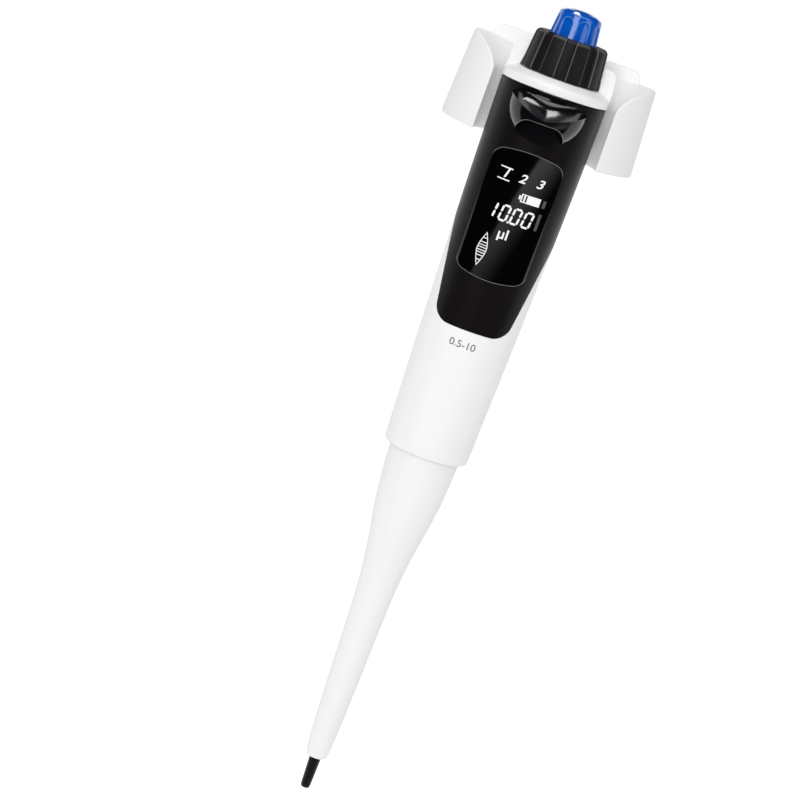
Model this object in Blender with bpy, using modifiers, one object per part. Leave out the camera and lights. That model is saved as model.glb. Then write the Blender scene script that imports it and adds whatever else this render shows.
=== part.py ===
# Electronic pipette in its wall holder
# The pipette stands upright on its own axis: its height is counted from the free end of
# the tip cone, front towards -Y. The model's origin is the middle of the holder's wall pad.
import math

import bmesh
import bpy
from mathutils import Matrix, Vector

MM = 0.001

# Clearances
SEAT_GAP = 0.3 * MM            # between pieces that touch
SLIDE_GAP = 0.35 * MM          # between pieces that slide on each other
ROOM = 0.8 * MM                # between pieces that never touch

# Tip cone and ejector sleeve
TIP_SHOWN = 11.3 * MM          # cone standing out of the sleeve
TIP_INSIDE = 6.7 * MM          # cone hidden in the sleeve
TIP_END_R = 1.6 * MM
TIP_NOSE_R = 1.38 * MM         # its flat end, inside the rounding
TIP_NOSE_HEIGHT = 0.9 * MM
TIP_ROOT_R = 1.97 * MM
TIP_BORE_R = 0.55 * MM
SLEEVE_SHOWN = 109.3 * MM      # sleeve seen below the housing
SLEEVE_HIDDEN = 7.4 * MM       # sleeve guided in the housing
SLEEVE_WALL = 1.0 * MM
SLEEVE_SLENDER_GAIN = 3.6 * MM  # growth of the slender stretch
SHOULDER_PLACE = 0.741         # share of the shown sleeve where the shoulder swells most
SHOULDER_SPREAD = 0.075        # share of the shown sleeve that the swelling takes

# Housing and front panel
HOUSING_LENGTH = 122.4 * MM
HOUSING_TOP_R = 17.3 * MM
HOUSING_BOTTOM_R = 14.05 * MM
HOUSING_SWELL = 1.4            # exponent of the taper, straight at 1
HOUSING_WALL = 2.0 * MM
HOUSING_LIP = 1.0 * MM         # rounding of the lower rim
LIP_CHAMFERS = ((0.3, 0.3), (0.8, 0))  # its two edges: shares of the rounding inwards and upwards
PANEL_WALL = 1.8 * MM
PANEL_LENGTH = 78.5 * MM       # from the cap down the front
PANEL_STRAIGHT = 33.4 * MM     # stretch where the panel takes the whole front half
PANEL_BOTTOM_HALF = 11.9 * MM
PANEL_CORNER_R = 5.5 * MM

# Display
LENS_WIDTH = 23.1 * MM
LENS_HEIGHT = 42.0 * MM
LENS_FROM_CAP = 19.2 * MM
LENS_ARCH = 1.7 * MM           # rise of its top and bottom edges
ARCH_BREAK = (0.55, 0.3)       # where the arch changes slope: shares of half the width and of the rise
LENS_CORNER_R = 3.0 * MM
LENS_THICKNESS = 1.0 * MM
WINDOW_LEDGE = 1.6 * MM
DISPLAY_THICKNESS = 1.8 * MM
BOARD_THICKNESS = 1.2 * MM
BOARD_LENGTH = 66.0 * MM

# Top cap and finger hook
CAP_R = 17.5 * MM
CAP_SKIRT = 2.6 * MM           # upright stretch below the sloped shoulder
CAP_SHOULDER = 1.9 * MM        # height of the sloped shoulder
CAP_WALL = 2.4 * MM
CAP_ROOF = 1.6 * MM
HOOD_RISE = 7.2 * MM           # rear hood above the cap's top
HOOD_CORNER_R = 1.6 * MM
HOOD_SET_BACK = 6.0 * MM       # how far its front edges lean back from the cap's top to its own
HUB_R = 5.0 * MM
HUB_HEIGHT = 7.2 * MM
CLIP_GROOVE_DEPTH = 0.5 * MM
CLIP_THICKNESS = 0.6 * MM
CLIP_R = 6.6 * MM
HOOK_WIDTH = 13.0 * MM
HOOK_REACH = 8.6 * MM          # behind the hood
HOOK_THICKNESS = 3.0 * MM
HOOK_DROP = 7.0 * MM
HOOK_OUTER_R = 2.5 * MM
HOOK_INNER_R = 1.8 * MM
HOOK_END_R = 1.2 * MM

# Setting knob
KNOB_HEIGHT = 12.7 * MM
KNOB_BASE_R = 13.35 * MM
KNOB_TOP_R = 12.15 * MM
KNOB_EDGE_R = 1.3 * MM
KNOB_FOOT_R = 0.6 * MM
KNOB_WEB_FROM_BASE = 3.6 * MM
KNOB_WEB = 1.6 * MM
KNOB_RIBS = 9
KNOB_GROOVE_WIDTH = 3.5 * MM
KNOB_GROOVE_DEPTH = 0.9 * MM
MAGNET_INSET = 1.8 * MM         # knob wall outside the magnet ring
MAGNET_WIDTH = 2.6 * MM
MAGNET_HEIGHT = 1.8 * MM

# Operate button
BUTTON_SHOWN = 9.2 * MM
BUTTON_R = 7.9 * MM
BUTTON_CROWN_R = 5.7 * MM
BUTTON_SIDE_DRAFT = 0.5 * MM
BUTTON_DOME = 1.2 * MM
BUTTON_EDGE_R = 1.9 * MM
BUTTON_SHOULDER_SHARE = 0.5    # height of the drafted side, as a share of what is shown
DOME_POINTS = ((0.5, 0.16), (0.8, 0.5))  # shares of the crown's radius and of the dome's height
EDGE_POINTS = ((0.55, 0.4), (0.2, 1.0))  # shares of the edge's radius inwards and downwards
BUTTON_HIDDEN = 3.0 * MM       # skirt inside the knob
BUTTON_WALL = 2.7 * MM
BUTTON_TRAVEL = 2.0 * MM
BUTTON_FLUTES = 8
BUTTON_FLUTE_TURN = math.radians(16)
BUTTON_FLUTE_WIDTH = 4.0 * MM
BUTTON_FLUTE_DEPTH = 0.5 * MM
STEM_R = 2.1 * MM
BUTTON_WIRE_R = 0.28 * MM
BUTTON_SPRING_TURNS = 5

# Ejector
EJECT_TRAVEL = 6.0 * MM
TRIGGER_HALF_WIDTH = 12.3 * MM
TRIGGER_REACH = 9.0 * MM       # lip in front of the panel, at its middle
TRIGGER_EAR_REACH = 2.2 * MM   # the same at the upper corners
TRIGGER_HEIGHT = 12.6 * MM     # from the upper corners down
EARS_FROM_CAP = 3.2 * MM
EAR_THICKNESS = 0.35 * MM
EAR_TAPER = 4.3 * MM           # width over which the top slopes down to each upper corner
SHIELD_SQUARENESS = 2.2        # exponents of the shield's lower outline
SHIELD_FULLNESS = 0.42
LIP_SAG = 4.7 * MM             # middle of the lip below the upper corners
LIP_SAG_SHAPE = 1.5
FLANK_FALL = 1.2               # how fast the lip draws back towards the upper corners
NOSE_ROUNDNESS = 4             # how fully the lower face bulges before the lip
DISH_HOLLOW = 1.8              # how steeply the thumb dish falls behind the lip
ARCH_HALF_WIDTH = 7.8 * MM
ARCH_UNDER_LIP = 1.2 * MM      # thickness of the lip over the arch
ARCH_CORNER_R = 4.2 * MM
TRIGGER_SKIN = 0.9 * MM        # behind the arch
STEM_WIDTH = 7.0 * MM
STEM_HEIGHT = 4.0 * MM
SLIDER_WALL = 0.75 * MM
SLIDER_OVERLAP = 0.5 * MM      # how far the slider covers the slot at each end of its travel
SLIDER_BAND = 4.0 * MM
SLIDER_LUG_WIDTH = 3.4 * MM
ROD_R = 1.1 * MM
ROD_PLACE_R = 10.0 * MM
ROD_TURN = math.radians(8)     # behind the right-hand side
COLLAR_FLANGE = 3.0 * MM
COLLAR_SPIGOT = 6.5 * MM
COLLAR_WALL = 1.4 * MM
EJECT_WIRE_R = 0.38 * MM
EJECT_SPRING_TURNS = 6
EJECT_SPRING_LENGTH = 24.0 * MM

# Barrel, seal and piston
BARREL_INSIDE = 19.4 * MM      # barrel standing in the housing
BARREL_NECK_R = 6.2 * MM
BARREL_FLANGE_R = 8.9 * MM
BARREL_FLANGE = 1.8 * MM
BARREL_ROOM = 0.9 * MM         # between barrel and sleeve
AIR_BORE_R = 0.85 * MM
SEAL_FROM_TIP = 44.0 * MM
SEAL_THICKNESS = 3.0 * MM
RETAINER_THICKNESS = 3.0 * MM
PISTON_R = 0.5 * MM
PISTON_SEAL_GAP = 0.06 * MM
PISTON_TRAVEL = 12.7 * MM      # 10 microlitres at a diameter of 1 mm
PISTON_BELOW_SEAL = 14.5 * MM
PISTON_ABOVE_SEAL = 15.0 * MM
CARRIER_R = 4.0 * MM
CARRIER_ROD_R = 1.9 * MM
CARRIER_FLOOR = 1.4 * MM

# Drive and chassis
BULKHEAD = 2.6 * MM
TROUGH_WALL = 1.3 * MM
TROUGH_R = 10.6 * MM
TROUGH_HALF_TURN = math.radians(62)
NUT_THICKNESS = 5.0 * MM
NUT_HALF_WIDTH = 7.9 * MM
NUT_HALF_DEPTH = 3.6 * MM
NUT_ROUNDING = 0.5 * MM
GUIDE_R = 1.0 * MM
GUIDE_PLACE_X = 5.9 * MM
SCREW_R = 1.5 * MM
MOTOR_R = 7.3 * MM
MOTOR_LENGTH = 20.0 * MM
MOTOR_BOSS_R = 3.4 * MM
MOTOR_BOSS = 1.0 * MM          # boss standing below its bulkhead
MOTOR_BORE = 4.0 * MM
MOTOR_EDGE = 0.8 * MM          # chamfer round its upper end
CELL_R = 7.0 * MM
FASTENER_R = 0.9 * MM
FASTENER_HEAD_R = 1.4 * MM
FASTENER_HEAD = 1.0 * MM
FASTENER_CIRCLE_R = 5.3 * MM
SWITCH_SIDE = 6.0 * MM
SWITCH_HEIGHT = 2.6 * MM
SENSOR_THICKNESS = 1.0 * MM
SOCKET_WIDTH = 8.8 * MM
SOCKET_HEIGHT = 3.2 * MM
SOCKET_WALL = 0.5 * MM
SOCKET_FROM_MOTOR = 10.0 * MM

# Holder
HOLDER_HEIGHT = 29.0 * MM
HOLDER_BELOW_CAP = 19.5 * MM   # its foot below the cap's foot
HOLDER_TOP_HALF = 30.9 * MM
HOLDER_BOTTOM_HALF = 32.6 * MM
HOLDER_ROOM = 3.1 * MM         # round the pipette
CHANNEL_EDGE_SHARE = 0.96      # where the front edge starts, as a share of the channel's radius
WING_CORNER_R = 2.2 * MM
WALL_FROM_AXIS = 30.0 * MM
WING_END = 7.0 * MM            # depth of the wing's outer end
WING_BULGE = 2.4 * MM
FUNNEL_WIDTH = 17.6 * MM
FUNNEL_DEPTH = 10.5 * MM
BACKPLATE_HALF = 25.0 * MM
BACKPLATE_RISE = 3.9 * MM
BACKPLATE_DEPTH = 4.4 * MM
BACKPLATE_CORNER_R = 3.0 * MM
POCKET_FLOOR = 1.6 * MM        # wall left behind the hook's pocket
PAD_THICKNESS = 1.0 * MM
PAD_HALF_WIDTH = 22.0 * MM
PAD_HALF_HEIGHT = 11.0 * MM
PAD_CORNER_R = 3.0 * MM

# Heights, counted from the free end of the tip cone
housing_foot = TIP_SHOWN + SLEEVE_SHOWN
housing_head = housing_foot + HOUSING_LENGTH
cap_foot = housing_head + SEAT_GAP
cap_crease = cap_foot + CAP_SKIRT
cap_top = cap_crease + CAP_SHOULDER
hub_top = cap_top + HUB_HEIGHT
knob_foot = cap_top + SEAT_GAP
knob_top = knob_foot + KNOB_HEIGHT
knob_web_top = knob_foot + KNOB_WEB_FROM_BASE + KNOB_WEB
button_foot = knob_top - BUTTON_HIDDEN
button_top = knob_top + BUTTON_SHOWN
button_roof = button_top - BUTTON_DOME - BUTTON_WALL
holder_foot = cap_foot - HOLDER_BELOW_CAP
holder_middle = holder_foot + HOLDER_HEIGHT / 2
lens_top = housing_head - LENS_FROM_CAP
lens_middle = lens_top - LENS_HEIGHT / 2
tip_head = TIP_SHOWN + TIP_INSIDE
barrel_foot = tip_head + SEAT_GAP
barrel_head = housing_foot + BARREL_INSIDE
sleeve_head = housing_foot + SLEEVE_HIDDEN
collar_seat = sleeve_head + SEAT_GAP
collar_head = collar_seat + COLLAR_FLANGE
barrel_flange_top = collar_seat - EJECT_SPRING_LENGTH - 2 * SEAT_GAP
seal_foot = SEAL_FROM_TIP + SEAT_GAP
seal_head = seal_foot + SEAL_THICKNESS
retainer_foot = seal_head + SEAT_GAP
retainer_head = retainer_foot + RETAINER_THICKNESS
low_bulkhead = barrel_head + SEAT_GAP
nut_foot = low_bulkhead + BULKHEAD + ROOM
nut_head = nut_foot + NUT_THICKNESS
motor_bulkhead = nut_head + PISTON_TRAVEL + ROOM + MOTOR_BOSS
motor_foot = motor_bulkhead + BULKHEAD + SEAT_GAP
motor_head = motor_foot + MOTOR_LENGTH
cell_bulkhead = motor_head + SEAT_GAP
cell_foot = cell_bulkhead + BULKHEAD + SEAT_GAP
ears_z = cap_foot - EARS_FROM_CAP
lip_z = ears_z - LIP_SAG
cap_roof = cap_top - CAP_ROOF
slider_head = cap_roof - SEAT_GAP
stem_top = slider_head - SLIDER_OVERLAP - EJECT_TRAVEL - SEAT_GAP
stem_base = stem_top - STEM_HEIGHT
slot_top = stem_top + SEAT_GAP
slot_foot = stem_base - EJECT_TRAVEL - SEAT_GAP
top_bulkhead = slot_foot - BULKHEAD
cell_head = top_bulkhead - SEAT_GAP
switch_board_foot = top_bulkhead + BULKHEAD + SEAT_GAP
switch_foot = switch_board_foot + BOARD_THICKNESS + SEAT_GAP
switch_head = switch_foot + SWITCH_HEIGHT
stem_foot = switch_head + BUTTON_TRAVEL + SEAT_GAP

# Radii that follow from others
cone_clear_r = TIP_ROOT_R + SLIDE_GAP
sleeve_end_r = cone_clear_r + SLEEVE_WALL
sleeve_top_r = HOUSING_BOTTOM_R - HOUSING_WALL - SLIDE_GAP
panel_inner_r = HOUSING_TOP_R - PANEL_WALL
slider_r = panel_inner_r - ROOM
knob_recess_r = BUTTON_R + SLIDE_GAP
knob_bore_r = HUB_R + SLIDE_GAP
magnet_outer_r = KNOB_BASE_R - MAGNET_INSET
magnet_inner_r = magnet_outer_r - MAGNET_WIDTH
hood_inner_r = KNOB_BASE_R + ROOM
channel_r = HOUSING_TOP_R + HOLDER_ROOM
hub_bore_r = STEM_R + SLIDE_GAP
button_cavity_r = BUTTON_R - BUTTON_WALL
barrel_bore_r = CARRIER_R + SLIDE_GAP
rod_bore_r = CARRIER_ROD_R + ROOM
screw_bore_r = SCREW_R + SLIDE_GAP
board_back_y = -(MOTOR_R + SEAT_GAP)
board_front_y = board_back_y - BOARD_THICKNESS
display_back_y = board_front_y - SEAT_GAP
display_front_y = display_back_y - DISPLAY_THICKNESS
rod_x = ROD_PLACE_R * math.cos(ROD_TURN)
rod_y = ROD_PLACE_R * math.sin(ROD_TURN)

# How finely round pieces are divided
LARGE_STEPS = 48
MIDDLE_STEPS = 36
SMALL_STEPS = 20
FINE_STEPS = 10
COIL_STEPS = 10                # per turn
COIL_END_PITCH = 2.3           # of a flat end turn, in wire radii
TRIGGER_COLUMNS = 29
TRIGGER_ROWS = 8


def clear_scene():
    for existing in list(bpy.data.objects):
        bpy.data.objects.remove(existing, do_unlink=True)


def new_collection(name):
    collection = bpy.data.collections.new(name)
    bpy.context.scene.collection.children.link(collection)
    return collection


clear_scene()
parts = new_collection("electronic_pipette")
tools = new_collection("cutters")
axis_frame = bpy.data.objects.new("pipette_axis", None)
axis_frame.location = (0, -WALL_FROM_AXIS, -holder_middle)
parts.objects.link(axis_frame)


def surface(name, colour, roughness, metallic=0.0, alpha=1.0):
    material = bpy.data.materials.new(name)
    material.use_nodes = True
    shader = material.node_tree.nodes["Principled BSDF"]
    shader.inputs["Base Color"].default_value = (*colour, 1)
    shader.inputs["Roughness"].default_value = roughness
    shader.inputs["Metallic"].default_value = metallic
    shader.inputs["Alpha"].default_value = alpha
    return material


def place(item, finish=None):
    # A piece with a finish is part of the pipette, one without is a tool that shapes others
    home = parts if finish else tools
    home.objects.link(item)
    item.parent = axis_frame
    if finish:
        item.data.materials.append(finish)
    else:
        item.display_type = 'WIRE'
        item.hide_render = True
    return item


def mesh_item(name, shape, finish=None):
    mesh = bpy.data.meshes.new(name)
    shape.to_mesh(mesh)
    shape.free()
    return place(bpy.data.objects.new(name, mesh), finish)


def smooth(item, degrees=32):
    item.data.shade_smooth()
    item.data.set_sharp_from_angle(angle=math.radians(degrees))
    return item


def turned(name, profile, steps, finish=None, closed=True):
    # The profile lies in the XZ plane: down the outer side, then up the inner one
    mesh = bpy.data.meshes.new(name)
    points = [(radius, 0, height) for radius, height in profile]
    edges = [(i, i + 1) for i in range(len(points) - 1)]
    if closed:
        edges.append((len(points) - 1, 0))
    mesh.from_pydata(points, edges, [])
    item = place(bpy.data.objects.new(name, mesh), finish)
    screw = item.modifiers.new("turn", 'SCREW')
    screw.steps = steps
    screw.render_steps = steps
    screw.use_merge_vertices = True
    screw.merge_threshold = 0.000001
    screw.use_smooth_shade = True
    return item


def ring(name, inner, outer, foot, head, steps, finish=None):
    profile = [(outer, head), (outer, foot), (inner, foot), (inner, head)]
    return turned(name, profile, steps, finish)


def cylinder(name, radius, foot, head, steps, finish=None, x=0.0, y=0.0):
    shape = bmesh.new()
    middle = Matrix.Translation((x, y, (foot + head) / 2))
    bmesh.ops.create_cone(shape, cap_ends=True, segments=steps, radius1=radius, radius2=radius,
                          depth=head - foot, matrix=middle)
    item = mesh_item(name, shape, finish)
    return smooth(item)


def box(name, low, high, finish=None, rounding=0.0):
    low = Vector(low)
    high = Vector(high)
    shape = bmesh.new()
    size = Matrix.Diagonal((*(high - low), 1))
    bmesh.ops.create_cube(shape, size=1, matrix=Matrix.Translation((low + high) / 2) @ size)
    item = mesh_item(name, shape, finish)
    if rounding:
        bevel = item.modifiers.new("rounding", 'BEVEL')
        bevel.width = rounding
        bevel.segments = 2
    return item


def ellipsoid(name, middle, radii, segments, rings):
    shape = bmesh.new()
    size = Matrix.Diagonal((*radii, 1))
    bmesh.ops.create_uvsphere(shape, u_segments=segments, v_segments=rings, radius=1,
                              matrix=Matrix.Translation(middle) @ size)
    return mesh_item(name, shape)


def rounded_outline(corners, arc_steps=5):
    # Each corner is (across, up, radius); corners of no radius stay sharp
    points = []
    for index, (across, up, radius) in enumerate(corners):
        here = Vector((across, up))
        if not radius:
            points.append(here)
            continue
        before = (Vector(corners[index - 1][:2]) - here).normalized()
        after = (Vector(corners[(index + 1) % len(corners)][:2]) - here).normalized()
        half = before.angle(after) / 2
        centre = here + (before + after).normalized() * radius / math.sin(half)
        first = here + before * radius / math.tan(half) - centre
        last = here + after * radius / math.tan(half) - centre
        for step in range(arc_steps + 1):
            share = step / arc_steps
            points.append(centre + first.slerp(last, share).normalized() * radius)
    return points


def plate(name, outline, low, high, facing, finish=None):
    # A flat outline with a thickness: across and up follow XY, XZ or YZ by its facing
    curve = bpy.data.curves.new(name, 'CURVE')
    curve.dimensions = '2D'
    curve.fill_mode = 'BOTH'
    curve.extrude = (high - low) / 2
    spline = curve.splines.new('POLY')
    spline.points.add(len(outline) - 1)
    for point, (across, up) in zip(spline.points, outline):
        point.co = (across, up, 0, 1)
    spline.use_cyclic_u = True
    sketch = bpy.data.objects.new(name, curve)
    tools.objects.link(sketch)
    middle = (low + high) / 2
    turns = {
        'Z': Matrix.Translation((0, 0, middle)),
        'Y': Matrix.Translation((0, middle, 0)) @ Matrix.Rotation(math.pi / 2, 4, 'X'),
        'X': Matrix.Translation((middle, 0, 0)) @ Matrix(((0, 0, 1), (1, 0, 0), (0, 1, 0))).to_4x4(),
    }
    bpy.context.view_layer.update()
    evaluated = sketch.evaluated_get(bpy.context.evaluated_depsgraph_get())
    mesh = bpy.data.meshes.new_from_object(evaluated)
    bpy.data.objects.remove(sketch)
    shape = bmesh.new()
    shape.from_mesh(mesh)
    bpy.data.meshes.remove(mesh)
    bmesh.ops.remove_doubles(shape, verts=shape.verts, dist=0.000001)
    bmesh.ops.transform(shape, matrix=turns[facing], verts=shape.verts)
    bmesh.ops.recalc_face_normals(shape, faces=shape.faces)
    return mesh_item(name, shape, finish)


def boolean(item, other, operation):
    step = item.modifiers.new(operation.lower(), 'BOOLEAN')
    step.operation = operation
    step.object = other
    step.solver = 'EXACT'
    return item


def cut(item, *others):
    for other in others:
        boolean(item, other, 'DIFFERENCE')
    return item


def keep(item, other):
    return boolean(item, other, 'INTERSECT')


def join(item, *others):
    for other in others:
        boolean(item, other, 'UNION')
    return item


def coil(name, radius, wire_r, foot, head, turns, finish):
    # A compression coil whose end turns lie flat
    curve = bpy.data.curves.new(name, 'CURVE')
    curve.dimensions = '3D'
    curve.bevel_depth = wire_r
    curve.bevel_resolution = 2
    curve.use_fill_caps = True
    count = COIL_STEPS * (turns + 2)
    spline = curve.splines.new('POLY')
    spline.points.add(count)
    low = foot + wire_r
    high = head - wire_r
    for index in range(count + 1):
        turn = index / COIL_STEPS
        climb = min(max((turn - 1) / turns, 0), 1)
        flat = wire_r * COIL_END_PITCH
        if turn <= 1:
            height = low + flat * turn
        elif turn >= turns + 1:
            height = high - flat * (turns + 2 - turn)
        else:
            height = low + flat + (high - low - 2 * flat) * climb
        angle = 2 * math.pi * turn
        spline.points[index].co = (radius * math.cos(angle), radius * math.sin(angle), height, 1)
    return place(bpy.data.objects.new(name, curve), finish)


def spread(start, end, count):
    return [start + (end - start) * i / (count - 1) for i in range(count)]


# Finishes
white = surface("white_shell", (0.86, 0.86, 0.86), 0.32)
white_holder = surface("white_holder", (0.84, 0.84, 0.84), 0.4)
black = surface("black_panel", (0.02, 0.02, 0.022), 0.38)
black_gloss = surface("black_gloss", (0.015, 0.015, 0.017), 0.12)
black_lens = surface("black_lens", (0.005, 0.005, 0.006), 0.04)
blue = surface("blue_button", (0.004, 0.08, 0.6), 0.16)
black_cone = surface("black_cone", (0.015, 0.015, 0.015), 0.4)
steel = surface("steel", (0.6, 0.6, 0.62), 0.25, 1.0)
brass = surface("brass", (0.75, 0.55, 0.25), 0.3, 1.0)
grey_plastic = surface("grey_plastic", (0.25, 0.26, 0.27), 0.5)
natural_plastic = surface("natural_plastic", (0.72, 0.71, 0.66), 0.45)
board_green = surface("board_green", (0.02, 0.16, 0.07), 0.4)
cell_wrap = surface("cell_wrap", (0.05, 0.2, 0.45), 0.35)
rubber = surface("seal_rubber", (0.03, 0.03, 0.03), 0.7)
magnet = surface("magnet", (0.16, 0.15, 0.15), 0.5, 0.4)
foam = surface("foam_pad", (0.55, 0.55, 0.55), 0.9)


def housing_radius(height):
    share = min(max((height - housing_foot) / HOUSING_LENGTH, 0), 1)
    swell = 1 - (1 - share) ** HOUSING_SWELL
    return HOUSING_BOTTOM_R + (HOUSING_TOP_R - HOUSING_BOTTOM_R) * swell


def housing_shell(name, wall, skin=0.0, finish=None, foot=housing_foot, lip=HOUSING_LIP):
    # The handle's tapering tube, or a thicker or thinner copy of it for cutting
    heights = spread(housing_head, foot + lip, 9)
    outer = [(housing_radius(height) + skin, height) for height in heights]
    if lip:
        outer += [(housing_radius(foot) + skin - lip * inwards, foot + lip * upwards)
                  for inwards, upwards in LIP_CHAMFERS]
    inner = [(housing_radius(height) - wall, height) for height in spread(foot, housing_head, 5)]
    return turned(name, outer + inner, LARGE_STEPS, finish)


def panel_outline(margin):
    # The front panel seen from the front: full width above, tapering to a round U below
    head = housing_head + ROOM
    step = housing_head - PANEL_STRAIGHT
    foot = housing_head - PANEL_LENGTH + margin
    wide = CAP_R + ROOM
    half_foot = PANEL_BOTTOM_HALF - margin
    radius = PANEL_CORNER_R - margin
    right = [(wide, head, 0), (wide, step - margin, 0), (half_foot, foot, radius)]
    left = [(-across, up, rounding) for across, up, rounding in reversed(right)]
    return rounded_outline(right + left)


def lens_outline(margin):
    # Arched at both ends; its width is a chord of the panel
    half = LENS_WIDTH / 2 - margin
    top = lens_middle + LENS_HEIGHT / 2 - margin
    foot = lens_middle - LENS_HEIGHT / 2 + margin
    corner = LENS_CORNER_R - margin
    arch_half = half * ARCH_BREAK[0]
    arch_drop = LENS_ARCH * ARCH_BREAK[1]
    right = [(arch_half, top - arch_drop, 0), (half, top - LENS_ARCH, corner), (half, foot + LENS_ARCH, corner),
             (arch_half, foot + arch_drop, 0), (0, foot, 0)]
    left = [(-across, up, rounding) for across, up, rounding in reversed(right[:-1])]
    return rounded_outline(right + left + [(0, top, 0)])


def main_housing():
    item = housing_shell("main_housing", HOUSING_WALL, finish=white)
    opening = plate("panel_opening", panel_outline(0), -CAP_R - ROOM, 0, 'Y')
    socket_z = motor_foot + SOCKET_FROM_MOTOR
    window = box("socket_window", (-SOCKET_WIDTH / 2 - SEAT_GAP, 0, socket_z - SEAT_GAP),
                 (SOCKET_WIDTH / 2 + SEAT_GAP, CAP_R, socket_z + SOCKET_HEIGHT + SEAT_GAP))
    return cut(item, opening, window)


def front_panel():
    item = housing_shell("front_panel", PANEL_WALL, finish=black, lip=0)
    keep(item, plate("panel_form", panel_outline(SEAT_GAP), -CAP_R - ROOM, -SEAT_GAP, 'Y'))
    seat = housing_shell("lens_seat", LENS_THICKNESS + SEAT_GAP, skin=ROOM, lip=0)
    keep(seat, plate("lens_seat_form", lens_outline(-SEAT_GAP), -CAP_R - ROOM * 2, -ROOM, 'Y'))
    window = plate("lens_window", lens_outline(WINDOW_LEDGE), -CAP_R - ROOM, -ROOM, 'Y')
    slot = box("trigger_slot", (-STEM_WIDTH / 2 - SEAT_GAP, -CAP_R - ROOM, slot_foot),
               (STEM_WIDTH / 2 + SEAT_GAP, -ROOM, slot_top))
    return cut(item, seat, window, slot)


def display_lens():
    item = housing_shell("display_lens", LENS_THICKNESS, finish=black_lens, lip=0)
    return keep(item, plate("lens_form", lens_outline(0), -CAP_R - ROOM, -ROOM, 'Y'))


def inner_half_width(wall, height, depth):
    # How wide a flat piece may be at a depth inside the housing
    return math.sqrt((housing_radius(height) - wall) ** 2 - depth ** 2)


def electronics():
    half = inner_half_width(PANEL_WALL, lens_middle - LENS_HEIGHT / 2, display_front_y) - SEAT_GAP
    box("display_module", (-half, display_front_y, lens_middle - LENS_HEIGHT / 2),
        (half, display_back_y, lens_middle + LENS_HEIGHT / 2), grey_plastic)
    board_foot = cell_head - BOARD_LENGTH
    half = inner_half_width(HOUSING_WALL, board_foot, board_front_y) - SEAT_GAP
    box("main_board", (-half, board_front_y, board_foot), (half, board_back_y, cell_head), board_green)
    cylinder("switch_board", ROD_PLACE_R - ROD_R - ROOM, switch_board_foot, switch_board_foot + BOARD_THICKNESS,
             SMALL_STEPS, board_green)
    box("button_switch", (-SWITCH_SIDE / 2, -SWITCH_SIDE / 2, switch_foot),
        (SWITCH_SIDE / 2, SWITCH_SIDE / 2, switch_head), grey_plastic)
    sensor_head = cap_roof - SEAT_GAP
    ring("knob_sensor_ring", HUB_R, slider_r - SLIDER_WALL - ROOM, sensor_head - SENSOR_THICKNESS, sensor_head,
         MIDDLE_STEPS, board_green)
    cylinder("cell", CELL_R, cell_foot, cell_head, SMALL_STEPS, cell_wrap)
    socket_z = motor_foot + SOCKET_FROM_MOTOR
    back = housing_radius(socket_z) - ROOM
    front = TROUGH_R + SEAT_GAP
    socket = box("charge_socket", (-SOCKET_WIDTH / 2, front, socket_z),
                 (SOCKET_WIDTH / 2, back, socket_z + SOCKET_HEIGHT), steel)
    mouth = box("socket_mouth", (-SOCKET_WIDTH / 2 + SOCKET_WALL, front + SOCKET_WALL, socket_z + SOCKET_WALL),
                (SOCKET_WIDTH / 2 - SOCKET_WALL, back + ROOM, socket_z + SOCKET_HEIGHT - SOCKET_WALL))
    cut(socket, mouth)


def top_cap():
    inner = CAP_R - CAP_WALL
    groove_head = knob_web_top + SEAT_GAP + CLIP_THICKNESS + SEAT_GAP
    groove_foot = knob_web_top
    groove_r = HUB_R - CLIP_GROOVE_DEPTH
    profile = [
        (HUB_R, hub_top), (HUB_R, groove_head), (groove_r, groove_head), (groove_r, groove_foot),
        (HUB_R, groove_foot), (HUB_R, cap_top), (KNOB_BASE_R + ROOM, cap_top), (CAP_R, cap_crease),
        (CAP_R, cap_foot), (inner, cap_foot), (inner, cap_roof), (hub_bore_r, cap_roof), (hub_bore_r, hub_top),
    ]
    item = turned("top_cap", profile, LARGE_STEPS, white)
    hood_top = cap_top + HOOD_RISE
    bend = [math.radians(angle) for angle in (90, 60, 30, 0)]
    edge = [(CAP_R - HOOD_CORNER_R + HOOD_CORNER_R * math.cos(angle),
             hood_top - HOOD_CORNER_R + HOOD_CORNER_R * math.sin(angle)) for angle in bend]
    hood = turned("hood", edge + [(CAP_R, cap_crease - ROOM), (hood_inner_r, cap_crease - ROOM),
                                  (hood_inner_r, hood_top)], LARGE_STEPS)
    lean = HOOD_SET_BACK / HOOD_RISE
    front = [Vector((-CAP_R * 2, cap_foot)), Vector((0, cap_foot)), Vector((0, cap_top)),
             Vector((HOOD_SET_BACK + lean * ROOM, hood_top + ROOM)), Vector((-CAP_R * 2, hood_top + ROOM))]
    cut(hood, plate("hood_front", front, -CAP_R * 2, CAP_R * 2, 'X'))
    join(item, hood)
    clip_r = groove_r + SEAT_GAP
    ring("knob_retaining_ring", clip_r, CLIP_R, groove_foot + SEAT_GAP, groove_foot + SEAT_GAP + CLIP_THICKNESS,
         SMALL_STEPS, steel)


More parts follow.
